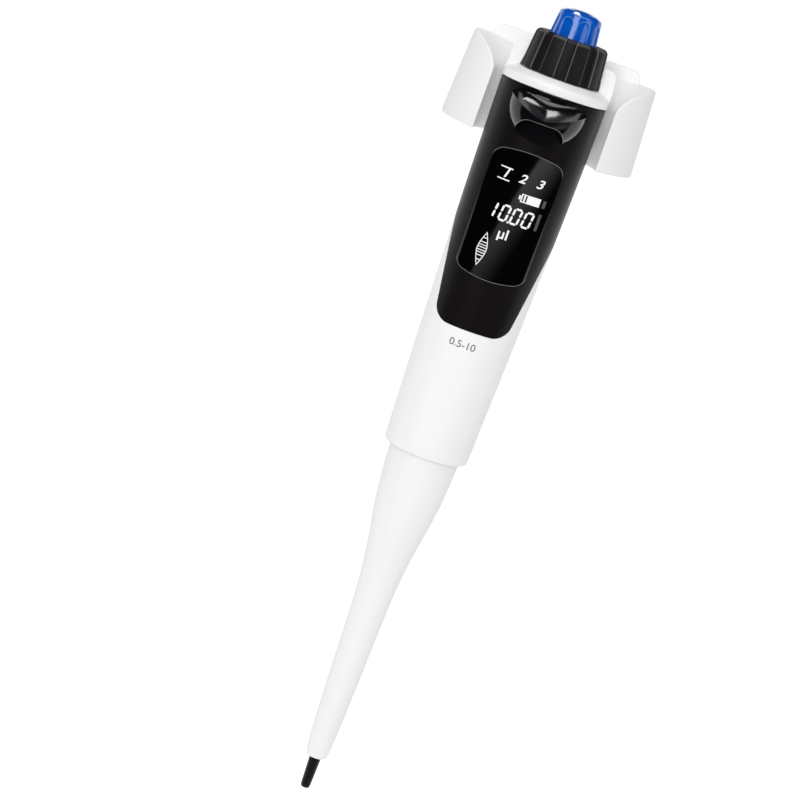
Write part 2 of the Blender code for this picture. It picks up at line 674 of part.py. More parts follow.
def finger_hook():
    top = cap_top + HOOD_RISE - HOOD_CORNER_R
    foot = top - HOOK_THICKNESS
    tip = CAP_R + HOOK_REACH
    inside = CAP_R - ROOM
    nose = tip - HOOK_THICKNESS
    end = foot - HOOK_DROP
    outline = rounded_outline([(inside, top, 0), (tip, top, HOOK_OUTER_R), (tip, end, HOOK_END_R),
                               (nose, end, HOOK_END_R), (nose, foot, HOOK_INNER_R), (inside, foot, 0)])
    item = plate("finger_hook", outline, -HOOK_WIDTH / 2, HOOK_WIDTH / 2, 'X', white)
    return cut(item, cylinder("hook_seat", CAP_R + SEAT_GAP, foot - ROOM, top + ROOM, LARGE_STEPS))


def setting_knob():
    top = knob_top
    slope = (KNOB_BASE_R - KNOB_TOP_R) / KNOB_HEIGHT
    bend = [math.radians(angle) for angle in (90, 65, 40, 15)]
    edge = [(KNOB_TOP_R - KNOB_EDGE_R + KNOB_EDGE_R * math.cos(angle),
             top - KNOB_EDGE_R + KNOB_EDGE_R * math.sin(angle)) for angle in bend]
    web_foot = knob_foot + KNOB_WEB_FROM_BASE
    ring_inner = magnet_inner_r - SEAT_GAP
    ring_outer = magnet_outer_r + SEAT_GAP
    profile = [(knob_recess_r, top - SEAT_GAP), (knob_recess_r + SEAT_GAP, top)] + edge + [
        (KNOB_BASE_R, knob_foot + KNOB_FOOT_R), (KNOB_BASE_R - KNOB_FOOT_R, knob_foot),
        (ring_outer, knob_foot), (ring_outer, web_foot), (ring_inner, web_foot), (ring_inner, knob_foot),
        (knob_bore_r, knob_foot), (knob_bore_r, knob_web_top), (knob_recess_r, knob_web_top),
    ]
    item = turned("setting_knob", profile, MIDDLE_STEPS + FINE_STEPS, black)
    half = KNOB_GROOVE_WIDTH / 2
    cutter_r = (half ** 2 + KNOB_GROOVE_DEPTH ** 2) / (2 * KNOB_GROOVE_DEPTH)
    middle_r = (KNOB_BASE_R + KNOB_TOP_R) / 2
    for index in range(KNOB_RIBS):
        angle = -math.pi / 2 + 2 * math.pi * index / KNOB_RIBS
        groove = cylinder("knob_groove_%d" % index, cutter_r, -KNOB_HEIGHT, KNOB_HEIGHT, SMALL_STEPS)
        reach = middle_r - KNOB_GROOVE_DEPTH + cutter_r
        groove.location = (reach * math.cos(angle), reach * math.sin(angle), knob_foot + KNOB_HEIGHT / 2)
        groove.rotation_euler = (0, -math.atan(slope), angle)
        cut(item, groove)
    ring("knob_magnet_ring", magnet_inner_r, magnet_outer_r, knob_foot + SEAT_GAP,
         knob_foot + SEAT_GAP + MAGNET_HEIGHT, SMALL_STEPS, magnet)


def operate_button():
    shoulder = BUTTON_R - BUTTON_SIDE_DRAFT
    shoulder_z = knob_top + BUTTON_SHOWN * BUTTON_SHOULDER_SHARE
    edge_z = button_top - BUTTON_DOME
    profile = [(0, button_top)]
    profile += [(BUTTON_CROWN_R * across, button_top - BUTTON_DOME * down) for across, down in DOME_POINTS]
    profile.append((BUTTON_CROWN_R, edge_z))
    profile += [(shoulder - BUTTON_EDGE_R * inwards, edge_z - BUTTON_EDGE_R * down)
                for inwards, down in EDGE_POINTS]
    profile += [(shoulder, shoulder_z), (BUTTON_R, knob_top), (BUTTON_R, button_foot),
                (button_cavity_r, button_foot), (button_cavity_r, button_roof), (0, button_roof)]
    item = turned("operate_button", profile, MIDDLE_STEPS, blue, closed=False)
    half = BUTTON_FLUTE_WIDTH / 2
    cutter_r = (half ** 2 + BUTTON_FLUTE_DEPTH ** 2) / (2 * BUTTON_FLUTE_DEPTH)
    slope = BUTTON_SIDE_DRAFT / (shoulder_z - knob_top)
    arch_z = edge_z - BUTTON_EDGE_R
    reach_z = arch_z - half
    reach = shoulder - BUTTON_FLUTE_DEPTH + cutter_r
    for index in range(BUTTON_FLUTES):
        angle = -math.pi / 2 + BUTTON_FLUTE_TURN + 2 * math.pi * index / BUTTON_FLUTES
        dome = [(cutter_r * math.sin(math.radians(turn)), cutter_r * math.cos(math.radians(turn)))
                for turn in (0, 15, 30, 45, 60, 75, 90)]
        flute = turned("button_flute_%d" % index, dome + [(cutter_r, knob_top - reach_z + SEAT_GAP),
                                                          (0, knob_top - reach_z + SEAT_GAP)],
                       SMALL_STEPS, closed=False)
        flute.location = (reach * math.cos(angle), reach * math.sin(angle), reach_z)
        flute.rotation_euler = (0, -math.atan(slope), angle)
        cut(item, flute)
    cylinder("button_stem", STEM_R, stem_foot, button_roof - SEAT_GAP, SMALL_STEPS, natural_plastic)
    coil("button_spring", (hub_bore_r + HUB_R) / 2, BUTTON_WIRE_R, hub_top + SEAT_GAP, button_roof - SEAT_GAP,
         BUTTON_SPRING_TURNS, steel)


def trigger_front(across):
    # One upright section of the trigger's front: up the lower face, over the lip, along the dish
    share = min(abs(across) / TRIGGER_HALF_WIDTH, 1)
    lip = lip_z + LIP_SAG * share ** LIP_SAG_SHAPE
    fullness = (1 - share ** SHIELD_SQUARENESS) ** SHIELD_FULLNESS
    foot = ears_z - EAR_THICKNESS - (TRIGGER_HEIGHT - EAR_THICKNESS) * fullness
    ear_head = ears_z + EAR_THICKNESS
    head = ear_head + (cap_foot - SEAT_GAP - ear_head) * min((1 - share) * TRIGGER_HALF_WIDTH / EAR_TAPER, 1)
    flank = math.sqrt(1 - share ** 2) ** FLANK_FALL
    panel = math.sqrt(HOUSING_TOP_R ** 2 - across ** 2)
    middle_reach = HOUSING_TOP_R + TRIGGER_REACH
    end_reach = math.sqrt(HOUSING_TOP_R ** 2 - TRIGGER_HALF_WIDTH ** 2) + TRIGGER_EAR_REACH
    reach = end_reach + (middle_reach - end_reach) * flank
    section = []
    for step in spread(0, 1, TRIGGER_ROWS):
        out = panel + (reach - panel) * math.sqrt(1 - (1 - step) ** NOSE_ROUNDNESS)
        section.append((across, -out, foot + (lip - foot) * step))
    for step in spread(0, 1, TRIGGER_ROWS)[1:]:
        out = panel + (reach - panel) * (1 - step) ** DISH_HOLLOW
        section.append((across, -out, lip + (head - lip) * step))
    return section


def ejector_trigger():
    # A shield-shaped lever: a thumb dish above its lip and a finger arch below
    shape = bmesh.new()
    columns = []
    for turn in spread(-90, 90, TRIGGER_COLUMNS):
        section = trigger_front(TRIGGER_HALF_WIDTH * math.sin(math.radians(turn)))
        columns.append([shape.verts.new(point) for point in section])
    faces = []
    for left, right in zip(columns, columns[1:]):
        for row in range(len(left) - 1):
            faces.append(shape.faces.new((left[row], right[row], right[row + 1], left[row + 1])))
    depth = bmesh.ops.extrude_face_region(shape, geom=faces)
    for vert in [v for v in depth['geom'] if isinstance(v, bmesh.types.BMVert)]:
        vert.co.y = -HOUSING_TOP_R / 2
    bmesh.ops.recalc_face_normals(shape, faces=shape.faces)
    item = smooth(mesh_item("ejector_trigger", shape, black_gloss), 40)
    arch_top = lip_z - ARCH_UNDER_LIP
    arch_foot = ears_z - TRIGGER_HEIGHT - ARCH_CORNER_R
    arch = plate("finger_arch", rounded_outline([
        (ARCH_HALF_WIDTH, arch_foot, 0), (ARCH_HALF_WIDTH, arch_top, ARCH_CORNER_R),
        (-ARCH_HALF_WIDTH, arch_top, ARCH_CORNER_R), (-ARCH_HALF_WIDTH, arch_foot, 0),
    ]), -2 * CAP_R, -HOUSING_TOP_R / 2, 'Y')
    floor_r = HOUSING_TOP_R + SLIDE_GAP + TRIGGER_SKIN
    cut(arch, cylinder("arch_floor", floor_r, holder_foot - TRIGGER_HEIGHT, knob_foot, LARGE_STEPS))
    core = cylinder("trigger_core", HOUSING_TOP_R + SLIDE_GAP, holder_foot, knob_foot, LARGE_STEPS)
    stem = box("trigger_stem", (-STEM_WIDTH / 2, -HOUSING_TOP_R - 2 * SLIDE_GAP - SEAT_GAP, stem_base),
               (STEM_WIDTH / 2, -slider_r - SEAT_GAP, stem_top))
    cut(item, arch, core)
    return join(item, stem)


def ejector_slider():
    # Curved plate behind the slot, with a band round to the rod
    foot = slot_foot - SLIDER_OVERLAP
    head = slider_head
    band_top = stem_base + SLIDER_BAND
    inner = slider_r - SLIDER_WALL
    half = STEM_WIDTH / 2 + 2 * SLIDER_OVERLAP
    lug_back = rod_y + SLIDER_LUG_WIDTH / 2
    item = ring("ejector_slider", inner, slider_r, foot, head, LARGE_STEPS, natural_plastic)
    cut(item,
        box("slider_left", (-CAP_R, -CAP_R, foot - ROOM), (-half, CAP_R, head + ROOM)),
        box("slider_back", (-CAP_R, lug_back, foot - ROOM), (CAP_R, CAP_R, head + ROOM)),
        box("under_band", (half, -CAP_R, foot - ROOM), (CAP_R, CAP_R, stem_base)),
        box("over_band", (half, -CAP_R, band_top), (CAP_R, CAP_R, head + ROOM)))
    lug_end = math.sqrt((inner + SLIDER_WALL / 2) ** 2 - lug_back ** 2)
    lug = box("rod_lug", (rod_x - ROD_R, lug_back - SLIDER_LUG_WIDTH, stem_base + SEAT_GAP),
              (lug_end, lug_back - SEAT_GAP, band_top - SEAT_GAP))
    join(item, lug)
    cylinder("ejector_rod", ROD_R, collar_head + SEAT_GAP, stem_base, FINE_STEPS, steel, rod_x, rod_y)


def sleeve_radius(height):
    share = min(max((height - TIP_SHOWN) / SLEEVE_SHOWN, 0), 1)
    slender = sleeve_end_r + SLEEVE_SLENDER_GAIN * math.sqrt(share)
    full = sleeve_top_r - sleeve_end_r - SLEEVE_SLENDER_GAIN
    swell = 1 / (1 + math.exp(-(share - SHOULDER_PLACE) / SHOULDER_SPREAD))
    settled = 1 / (1 + math.exp(-(1 - SHOULDER_PLACE) / SHOULDER_SPREAD))
    return slender + full * swell / settled


def ejector_sleeve():
    heights = spread(housing_foot, TIP_SHOWN, 13)
    lip = SLEEVE_WALL * 0.3
    outer = [(sleeve_top_r, sleeve_head)]
    outer += [(sleeve_radius(height), height) for height in heights[:-1]]
    outer += [(sleeve_end_r + lip, TIP_SHOWN + 2 * lip), (sleeve_end_r - lip, TIP_SHOWN)]
    inner = [(sleeve_radius(height) - SLEEVE_WALL, height) for height in reversed(heights[::2])]
    inner.append((sleeve_top_r - SLEEVE_WALL, sleeve_head))
    turned("ejector_sleeve", outer + inner, MIDDLE_STEPS, white)
    outer_r = sleeve_top_r - SLEEVE_WALL - SEAT_GAP
    spring_room = outer_r - COLLAR_WALL
    profile = [(sleeve_top_r, collar_head), (sleeve_top_r, collar_seat), (outer_r, collar_seat),
               (outer_r, collar_seat - COLLAR_SPIGOT), (spring_room, collar_seat - COLLAR_SPIGOT),
               (spring_room, collar_seat), (BARREL_NECK_R + SLIDE_GAP, collar_seat),
               (BARREL_NECK_R + SLIDE_GAP, collar_head)]
    turned("ejector_collar", profile, MIDDLE_STEPS, natural_plastic)
    spring_r = (BARREL_NECK_R + spring_room) / 2
    coil("ejector_spring", spring_r, EJECT_WIRE_R, barrel_flange_top + SEAT_GAP, collar_seat - SEAT_GAP,
         EJECT_SPRING_TURNS, steel)


def barrel_radius(height):
    return sleeve_radius(height) - SLEEVE_WALL - BARREL_ROOM


def barrel_and_tip():
    flange_foot = barrel_flange_top - BARREL_FLANGE
    taper = [(min(barrel_radius(height), BARREL_NECK_R), height)
             for height in spread(flange_foot, barrel_foot, 9)]
    bore = seal_foot - SEAT_GAP
    outer = [(BARREL_NECK_R, barrel_head), (BARREL_NECK_R, barrel_flange_top),
             (BARREL_FLANGE_R, barrel_flange_top), (BARREL_FLANGE_R, flange_foot)] + taper
    step = nut_foot - SEAT_GAP - PISTON_TRAVEL - ROOM - CARRIER_FLOOR - ROOM
    inner = [(AIR_BORE_R, barrel_foot), (AIR_BORE_R, bore), (rod_bore_r, bore), (rod_bore_r, step),
             (barrel_bore_r, step), (barrel_bore_r, barrel_head)]
    turned("barrel", outer + inner, SMALL_STEPS, natural_plastic)
    tip = [(TIP_ROOT_R, tip_head), (TIP_ROOT_R, TIP_SHOWN), (TIP_END_R, TIP_NOSE_HEIGHT), (TIP_NOSE_R, 0),
           (TIP_BORE_R, 0), (TIP_BORE_R, tip_head)]
    turned("tip_cone", tip, SMALL_STEPS, black_cone)
    ring("piston_seal", PISTON_R + PISTON_SEAL_GAP, rod_bore_r - SEAT_GAP, seal_foot, seal_head, FINE_STEPS * 2,
         rubber)
    ring("seal_retainer", PISTON_R + SEAT_GAP, rod_bore_r - SEAT_GAP, retainer_foot, retainer_head,
         FINE_STEPS * 2, brass)


def piston_drive():
    piston_head = retainer_head + PISTON_ABOVE_SEAL
    cylinder("piston", PISTON_R, seal_foot - PISTON_BELOW_SEAL, piston_head, FINE_STEPS, steel)
    carrier_head = nut_foot - SEAT_GAP
    tube_floor = carrier_head - PISTON_TRAVEL - ROOM
    rod_head = tube_floor - CARRIER_FLOOR
    profile = [(0, tube_floor), (screw_bore_r, tube_floor), (screw_bore_r, carrier_head),
               (CARRIER_R, carrier_head), (CARRIER_R, rod_head), (CARRIER_ROD_R, rod_head),
               (CARRIER_ROD_R, piston_head + SEAT_GAP), (0, piston_head + SEAT_GAP)]
    turned("piston_carrier", profile, SMALL_STEPS, natural_plastic, closed=False)
    nut = box("drive_nut", (-NUT_HALF_WIDTH, -NUT_HALF_DEPTH, nut_foot),
              (NUT_HALF_WIDTH, NUT_HALF_DEPTH, nut_head), brass, NUT_ROUNDING)
    cut(nut, cylinder("nut_thread", screw_bore_r, nut_foot - ROOM, nut_head + ROOM, SMALL_STEPS))
    for side, x in (("left", -GUIDE_PLACE_X), ("right", GUIDE_PLACE_X)):
        cut(nut, cylinder("guide_hole_" + side, GUIDE_R + SLIDE_GAP, nut_foot - ROOM, nut_head + ROOM,
                          FINE_STEPS, x=x))
        cylinder("guide_rod_" + side, GUIDE_R, low_bulkhead + BULKHEAD + SEAT_GAP, motor_bulkhead - SEAT_GAP,
                 FINE_STEPS, steel, x)
    cylinder("lead_screw", SCREW_R, nut_foot, motor_foot + MOTOR_BORE - SEAT_GAP, SMALL_STEPS, steel)
    profile = [(0, motor_head), (MOTOR_R - MOTOR_EDGE, motor_head), (MOTOR_R, motor_head - MOTOR_EDGE),
               (MOTOR_R, motor_foot), (MOTOR_BOSS_R, motor_foot), (MOTOR_BOSS_R, motor_bulkhead - MOTOR_BOSS),
               (screw_bore_r, motor_bulkhead - MOTOR_BOSS), (screw_bore_r, motor_foot + MOTOR_BORE),
               (0, motor_foot + MOTOR_BORE)]
    turned("motor", profile, SMALL_STEPS, steel, closed=False)


def chassis():
    # Rear trough with a bulkhead under each main piece
    foot = low_bulkhead
    head = top_bulkhead + BULKHEAD
    item = ring("chassis", TROUGH_R - TROUGH_WALL, TROUGH_R, foot, head, MIDDLE_STEPS, grey_plastic)
    reach = 2 * CAP_R
    side = reach * math.tan(TROUGH_HALF_TURN)
    sector = plate("trough_sector", [Vector((0, 0)), Vector((side, reach)), Vector((-side, reach))],
                   foot - ROOM, head + ROOM, 'Z')
    keep(item, sector)
    for index, level in enumerate((low_bulkhead, motor_bulkhead, cell_bulkhead, top_bulkhead)):
        radius = housing_radius(level) - HOUSING_WALL - SEAT_GAP
        disc = cylinder("bulkhead_%d" % index, radius, level, level + BULKHEAD, MIDDLE_STEPS)
        join(item, disc)
    front = box("chassis_front", (-CAP_R, -CAP_R, low_bulkhead + BULKHEAD + ROOM),
                (CAP_R, board_back_y + SEAT_GAP, head + ROOM))
    rod_way = cylinder("rod_way", ROD_R + SLIDE_GAP, foot - ROOM, head + ROOM, FINE_STEPS, x=rod_x, y=rod_y)
    carrier_way = cylinder("carrier_way", barrel_bore_r, foot - ROOM, foot + BULKHEAD + ROOM, SMALL_STEPS)
    boss_way = cylinder("boss_way", MOTOR_BOSS_R + SEAT_GAP, motor_bulkhead - ROOM, motor_foot, SMALL_STEPS)
    cut(item, front, rod_way, carrier_way, boss_way)
    motor_screws(item)


def motor_screws(item):
    # Three screws hold the motor down on its bulkhead from below
    head_top = motor_bulkhead - SEAT_GAP
    for index in range(3):
        angle = math.pi / 2 + 2 * math.pi * index / 3
        spot = (FASTENER_CIRCLE_R * math.cos(angle), FASTENER_CIRCLE_R * math.sin(angle), 0)
        profile = [(0, motor_foot - SEAT_GAP), (FASTENER_R, motor_foot - SEAT_GAP), (FASTENER_R, head_top),
                   (FASTENER_HEAD_R, head_top), (FASTENER_HEAD_R, head_top - FASTENER_HEAD),
                   (0, head_top - FASTENER_HEAD)]
        screw = turned("motor_screw_%d" % (index + 1), profile, FINE_STEPS, steel, closed=False)
        screw.location = spot
        cut(item, cylinder("screw_way_%d" % index, FASTENER_R + SEAT_GAP, motor_bulkhead - ROOM, motor_foot,
                           FINE_STEPS, x=spot[0], y=spot[1]))


def holder():
    foot = holder_foot
    head = holder_foot + HOLDER_HEIGHT
    back = WALL_FROM_AXIS - PAD_THICKNESS - SEAT_GAP
    front_x = channel_r * CHANNEL_EDGE_SHARE
    start = Vector((front_x, 0))
    end = Vector((HOLDER_TOP_HALF, back - WING_END))
    across = (end - start).normalized()
    outward = Vector((across.y, -across.x))
    bow = [start.lerp(end, share) + outward * WING_BULGE * 4 * share * (1 - share) for share in spread(0, 1, 7)]
    right = [(point.x, point.y, 0) for point in bow[:-1]]
    right += [(end.x, end.y, WING_CORNER_R), (HOLDER_TOP_HALF, back, WING_CORNER_R)]
    left = [(-x, y, rounding) for x, y, rounding in reversed(right)]
    outline = rounded_outline(right + left, 3)
    shape = bmesh.new()
    loop = [shape.verts.new((point.x, point.y, head)) for point in outline]
    top = shape.faces.new(loop)
    walls = bmesh.ops.extrude_face_region(shape, geom=[top])
    lower = [v for v in walls['geom'] if isinstance(v, bmesh.types.BMVert)]
    widen = HOLDER_BOTTOM_HALF / HOLDER_TOP_HALF
    for vert in lower:
        vert.co.x *= widen
        vert.co.z = foot
    bmesh.ops.recalc_face_normals(shape, faces=shape.faces)
    item = mesh_item("holder_bracket", shape, white_holder)
    funnel_middle = channel_r + FUNNEL_WIDTH
    turns = [math.radians(angle) for angle in spread(180, 90, 8)]
    mouth = [(funnel_middle + FUNNEL_WIDTH * math.cos(turn), head - FUNNEL_DEPTH * (1 - math.sin(turn)))
             for turn in turns]
    profile = [(0, head + ROOM), (funnel_middle, head + ROOM)] + mouth[::-1]
    profile += [(channel_r, foot - ROOM), (0, foot - ROOM)]
    cut(item, turned("channel", profile, LARGE_STEPS, closed=False))
    rise = head + BACKPLATE_RISE
    outline = rounded_outline([
        (BACKPLATE_HALF, holder_middle, 0), (BACKPLATE_HALF, rise, BACKPLATE_CORNER_R),
        (-BACKPLATE_HALF, rise, BACKPLATE_CORNER_R), (-BACKPLATE_HALF, holder_middle, 0),
    ], 4)
    join(item, plate("backplate", outline, back - BACKPLATE_DEPTH, back, 'Y'))
    hook_foot = cap_top + HOOD_RISE - HOOD_CORNER_R - HOOK_DROP - HOOK_THICKNESS
    pocket = box("hook_pocket", (-HOOK_WIDTH / 2 - ROOM, 0, hook_foot - SEAT_GAP),
                 (HOOK_WIDTH / 2 + ROOM, back - POCKET_FLOOR, rise + ROOM))
    cut(item, pocket)
    pad = rounded_outline([(PAD_HALF_WIDTH, holder_middle + PAD_HALF_HEIGHT, PAD_CORNER_R),
                           (-PAD_HALF_WIDTH, holder_middle + PAD_HALF_HEIGHT, PAD_CORNER_R),
                           (-PAD_HALF_WIDTH, holder_middle - PAD_HALF_HEIGHT, PAD_CORNER_R),
                           (PAD_HALF_WIDTH, holder_middle - PAD_HALF_HEIGHT, PAD_CORNER_R)], 4)
    plate("wall_pad", pad, WALL_FROM_AXIS - PAD_THICKNESS, WALL_FROM_AXIS, 'Y', foam)


main_housing()
front_panel()
display_lens()
electronics()
top_cap()
finger_hook()
setting_knob()
operate_button()
ejector_trigger()
ejector_slider()
ejector_sleeve()
barrel_and_tip()
piston_drive()
chassis()
holder()
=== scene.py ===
import math

import bmesh
import bpy
from mathutils import Matrix, Vector


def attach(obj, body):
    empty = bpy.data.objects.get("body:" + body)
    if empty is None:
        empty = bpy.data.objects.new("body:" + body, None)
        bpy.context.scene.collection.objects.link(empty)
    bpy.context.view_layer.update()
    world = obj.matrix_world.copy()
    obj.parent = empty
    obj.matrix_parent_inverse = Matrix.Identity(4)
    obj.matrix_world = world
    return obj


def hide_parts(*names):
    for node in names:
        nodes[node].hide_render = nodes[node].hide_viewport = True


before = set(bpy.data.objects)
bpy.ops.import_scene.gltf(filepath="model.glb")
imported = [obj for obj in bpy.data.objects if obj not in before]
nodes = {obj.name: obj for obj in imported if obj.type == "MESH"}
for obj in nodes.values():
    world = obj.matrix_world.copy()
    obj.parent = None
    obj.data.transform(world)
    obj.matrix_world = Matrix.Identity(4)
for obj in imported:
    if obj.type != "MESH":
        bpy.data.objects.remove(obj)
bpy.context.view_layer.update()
print("frame loaded")

scene = bpy.context.scene
mm = 0.001
tipPlace = Vector((0, -30.0, -238.3))  # free end of the tip cone, in mm; heights below are counted from it

# camera and light
view = {
    "camera": (0, -885.0, 304.5),
    "target": (-13.2, 0, 133.5),
    "lens": 125.9,
    "roll": 19.6,
}


def place(point):
    return (Vector(point) + tipPlace) * mm


def setCamera():
    camera = bpy.data.objects.new("camera", bpy.data.cameras.new("camera"))
    scene.collection.objects.link(camera)
    camera.data.sensor_width = 36
    camera.data.lens = view["lens"]
    camera.data.clip_end = 20
    eye = place(view["camera"])
    look = (place(view["target"]) - eye).to_track_quat('-Z', 'Y')
    turn = Matrix.Rotation(math.radians(view["roll"]), 4, 'Z')
    camera.matrix_world = Matrix.Translation(eye) @ look.to_matrix().to_4x4() @ turn
    scene.camera = camera


def areaLamp(name, spot, aim, width, height, radiance):
    data = bpy.data.lights.new(name, 'AREA')
    data.shape = 'RECTANGLE'
    data.size = width * mm
    data.size_y = height * mm
    data.energy = radiance * math.pi * data.size * data.size_y
    lamp = bpy.data.objects.new(name, data)
    scene.collection.objects.link(lamp)
    lamp.location = place(spot)
    lamp.rotation_euler = (place(aim) - lamp.location).to_track_quat('-Z', 'Y').to_euler()
    return lamp


studio = {
    "ambient": 0.66,
    "gloom": 0.012,  # what mirror-like surfaces see where the studio is dark
    "canopy": 4.0,  # softbox above the front
    "strips": ((-18, 15, 3, 32, 4.0), (50, 15, 3, 32, 1.5)),  # turn, half-width, low and high rise, strength
    "wedge": 1.05,  # low slanting softbox, seen in the display's lens
    "whiteDepth": (0.15, 0.55), "whiteRise": (0.5, 0.35),  # where the white background behind begins and ends
    "canopyDepth": (-0.03, -0.12), "canopyRise": (0.8, 0.95),
    "wedgeLean": 16.8, "wedgeStart": 2.512, "wedgeFade": (1.15, 0.1), "wedgeBand": (-0.17, 0.085),
    "wedgeFoot": (-0.26, -0.12),
    "overhead": ((-70, 290, 885), (0, -20, 236), 90, 330, 9.0),  # spot, aim, width, height, radiance
    "front": ((-120, -1250, 420), (0, 0, 150), 500, 400, 11.2),
    "floorDrop": 320.0,  # floor below the tip, in mm
    "floorSpread": (8, 7, 1), "floorBack": 6700.0,
    "floorGlow": 0.5,  # brings the lit floor up to white
}


def setInputs(node, values):
    for label, value in values.items():
        node.inputs[label].default_value = value


def mathNode(tree, operation, *values):
    node = tree.nodes.new("ShaderNodeMath")
    node.operation = operation
    for socket, value in zip(node.inputs, values):
        if isinstance(value, (int, float)):
            socket.default_value = value
        else:
            tree.links.new(value, socket)
    return node.outputs[0]


def rampNode(tree, value, start, end):
    node = tree.nodes.new("ShaderNodeMapRange")
    node.interpolation_type = 'SMOOTHSTEP'
    setInputs(node, {"From Min": start, "From Max": end})
    tree.links.new(value, node.inputs["Value"])
    return node.outputs["Result"]


def seenPlain(tree):
    # 1 for what the camera sees, also through glass, and the light path it is taken from
    rays = tree.nodes.new("ShaderNodeLightPath")
    return mathNode(tree, 'MAXIMUM', rays.outputs["Is Camera Ray"], rays.outputs["Is Transmission Ray"]), rays


def setWorld():
    # camera rays see white; mirror-like surfaces see a white background behind, softboxes and a dark front
    world = bpy.data.worlds.new("studio")
    scene.world = world
    world.use_nodes = True
    tree = world.node_tree
    back = tree.nodes["Background"]
    seen, rays = seenPlain(tree)
    where = tree.nodes.new("ShaderNodeTexCoord")
    split = tree.nodes.new("ShaderNodeSeparateXYZ")
    tree.links.new(where.outputs["Generated"], split.inputs[0])

    def calc(operation, *values):
        return mathNode(tree, operation, *values)

    def ramp(value, name):
        return rampNode(tree, value, *studio[name])

    depth = split.outputs["Y"]
    turn = calc('ARCTAN2', split.outputs["X"], calc('MULTIPLY', depth, -1))
    rise = calc('ARCSINE', split.outputs["Z"])
    level = calc('MULTIPLY', ramp(depth, "whiteDepth"), ramp(rise, "whiteRise"))
    canopy = calc('MULTIPLY', ramp(depth, "canopyDepth"), ramp(rise, "canopyRise"))
    level = calc('MULTIPLY_ADD', canopy, studio["canopy"], level)
    for middle, half, low, high, strength in studio["strips"]:
        beside = calc('COMPARE', turn, math.radians(middle), math.radians(half))
        above = calc('COMPARE', rise, math.radians((low + high) / 2), math.radians((high - low) / 2))
        level = calc('MULTIPLY_ADD', calc('MULTIPLY', beside, above), strength, level)
    # the wedge starts sharply at a slanting edge and fades to the right and downwards
    edge = calc('MULTIPLY_ADD', rise, studio["wedgeLean"], studio["wedgeStart"])
    past = calc('SUBTRACT', turn, edge)
    fade = calc('MULTIPLY', calc('GREATER_THAN', past, 0), ramp(past, "wedgeFade"))
    low = calc('COMPARE', rise, *studio["wedgeBand"])
    foot = calc('MULTIPLY', low, ramp(rise, "wedgeFoot"))
    fade = calc('MULTIPLY', fade, foot)
    level = calc('MULTIPLY_ADD', fade, studio["wedge"], level)
    level = calc('ADD', level, studio["gloom"])
    plain = tree.nodes.new("ShaderNodeMix")
    plain.inputs["A"].default_value = studio["ambient"]
    tree.links.new(rays.outputs["Is Glossy Ray"], plain.inputs["Factor"])
    tree.links.new(level, plain.inputs["B"])
    shown = tree.nodes.new("ShaderNodeMix")
    shown.inputs["B"].default_value = 1.0
    tree.links.new(seen, shown.inputs["Factor"])
    tree.links.new(plain.outputs["Result"], shown.inputs["A"])
    tree.links.new(shown.outputs["Result"], back.inputs["Strength"])
    back.inputs["Color"].default_value = (1, 1, 1, 1)


setCamera()
setWorld()
areaLamp("overheadLamp", *studio["overhead"])
fillLamp = areaLamp("frontLamp", *studio["front"])
fillLamp.visible_glossy = False  # it only fills, and leaves no patch on the blacks
scene.view_settings.view_transform = 'Standard'
print("camera and light set")

# finishes


def newGroup(name, inputs, outputs):
    # a group of plain numbers: inputs with their values, and outputs
    group = bpy.data.node_groups.new(name, 'ShaderNodeTree')
    for label, value in inputs.items():
        socket = group.interface.new_socket(label, in_out='INPUT', socket_type='NodeSocketFloat')
        socket.default_value = value
    for label in outputs:
        group.interface.new_socket(label, in_out='OUTPUT', socket_type='NodeSocketFloat')
    return group, group.nodes.new("NodeGroupInput"), group.nodes.new("NodeGroupOutput")


def buildGrain():
    # fine moulded texture: a height for the bump and a mask that varies the gloss
    group, given, result = newGroup("mouldGrain", {"Scale": 2500.0, "Cloud": 60.0}, ("Height", "Mask"))
    where = group.nodes.new("ShaderNodeTexCoord")
    fine = group.nodes.new("ShaderNodeTexNoise")
    fine.inputs["Detail"].default_value = 3
    coarse = group.nodes.new("ShaderNodeTexNoise")
    coarse.inputs["Detail"].default_value = 4
    for node, label in ((fine, "Scale"), (coarse, "Cloud")):
        group.links.new(where.outputs["Object"], node.inputs["Vector"])
        group.links.new(given.outputs[label], node.inputs["Scale"])
    group.links.new(fine.outputs["Fac"], result.inputs["Height"])
    group.links.new(coarse.outputs["Fac"], result.inputs["Mask"])
    return group


def buildDust():
    # a thin film of dust on faces that look up
    group, given, result = newGroup("dustFilm", {"Amount": 0.1}, ("Mask",))
    where = group.nodes.new("ShaderNodeTexCoord")
    shape = group.nodes.new("ShaderNodeNewGeometry")
    split = group.nodes.new("ShaderNodeSeparateXYZ")
    group.links.new(shape.outputs["Normal"], split.inputs[0])
    upward = group.nodes.new("ShaderNodeMapRange")
    setInputs(upward, {"From Min": 0.3, "From Max": 1.0})
    group.links.new(split.outputs["Z"], upward.inputs["Value"])
    specks = group.nodes.new("ShaderNodeTexNoise")
    setInputs(specks, {"Scale": 900, "Detail": 5})
    group.links.new(where.outputs["Object"], specks.inputs["Vector"])
    broken = mathNode(group, 'MULTIPLY', upward.outputs["Result"], specks.outputs["Fac"])
    scaled = mathNode(group, 'MULTIPLY', broken, given.outputs["Amount"])
    group.links.new(scaled, result.inputs["Mask"])
    return group


mouldGrain = buildGrain()
dustFilm = buildDust()


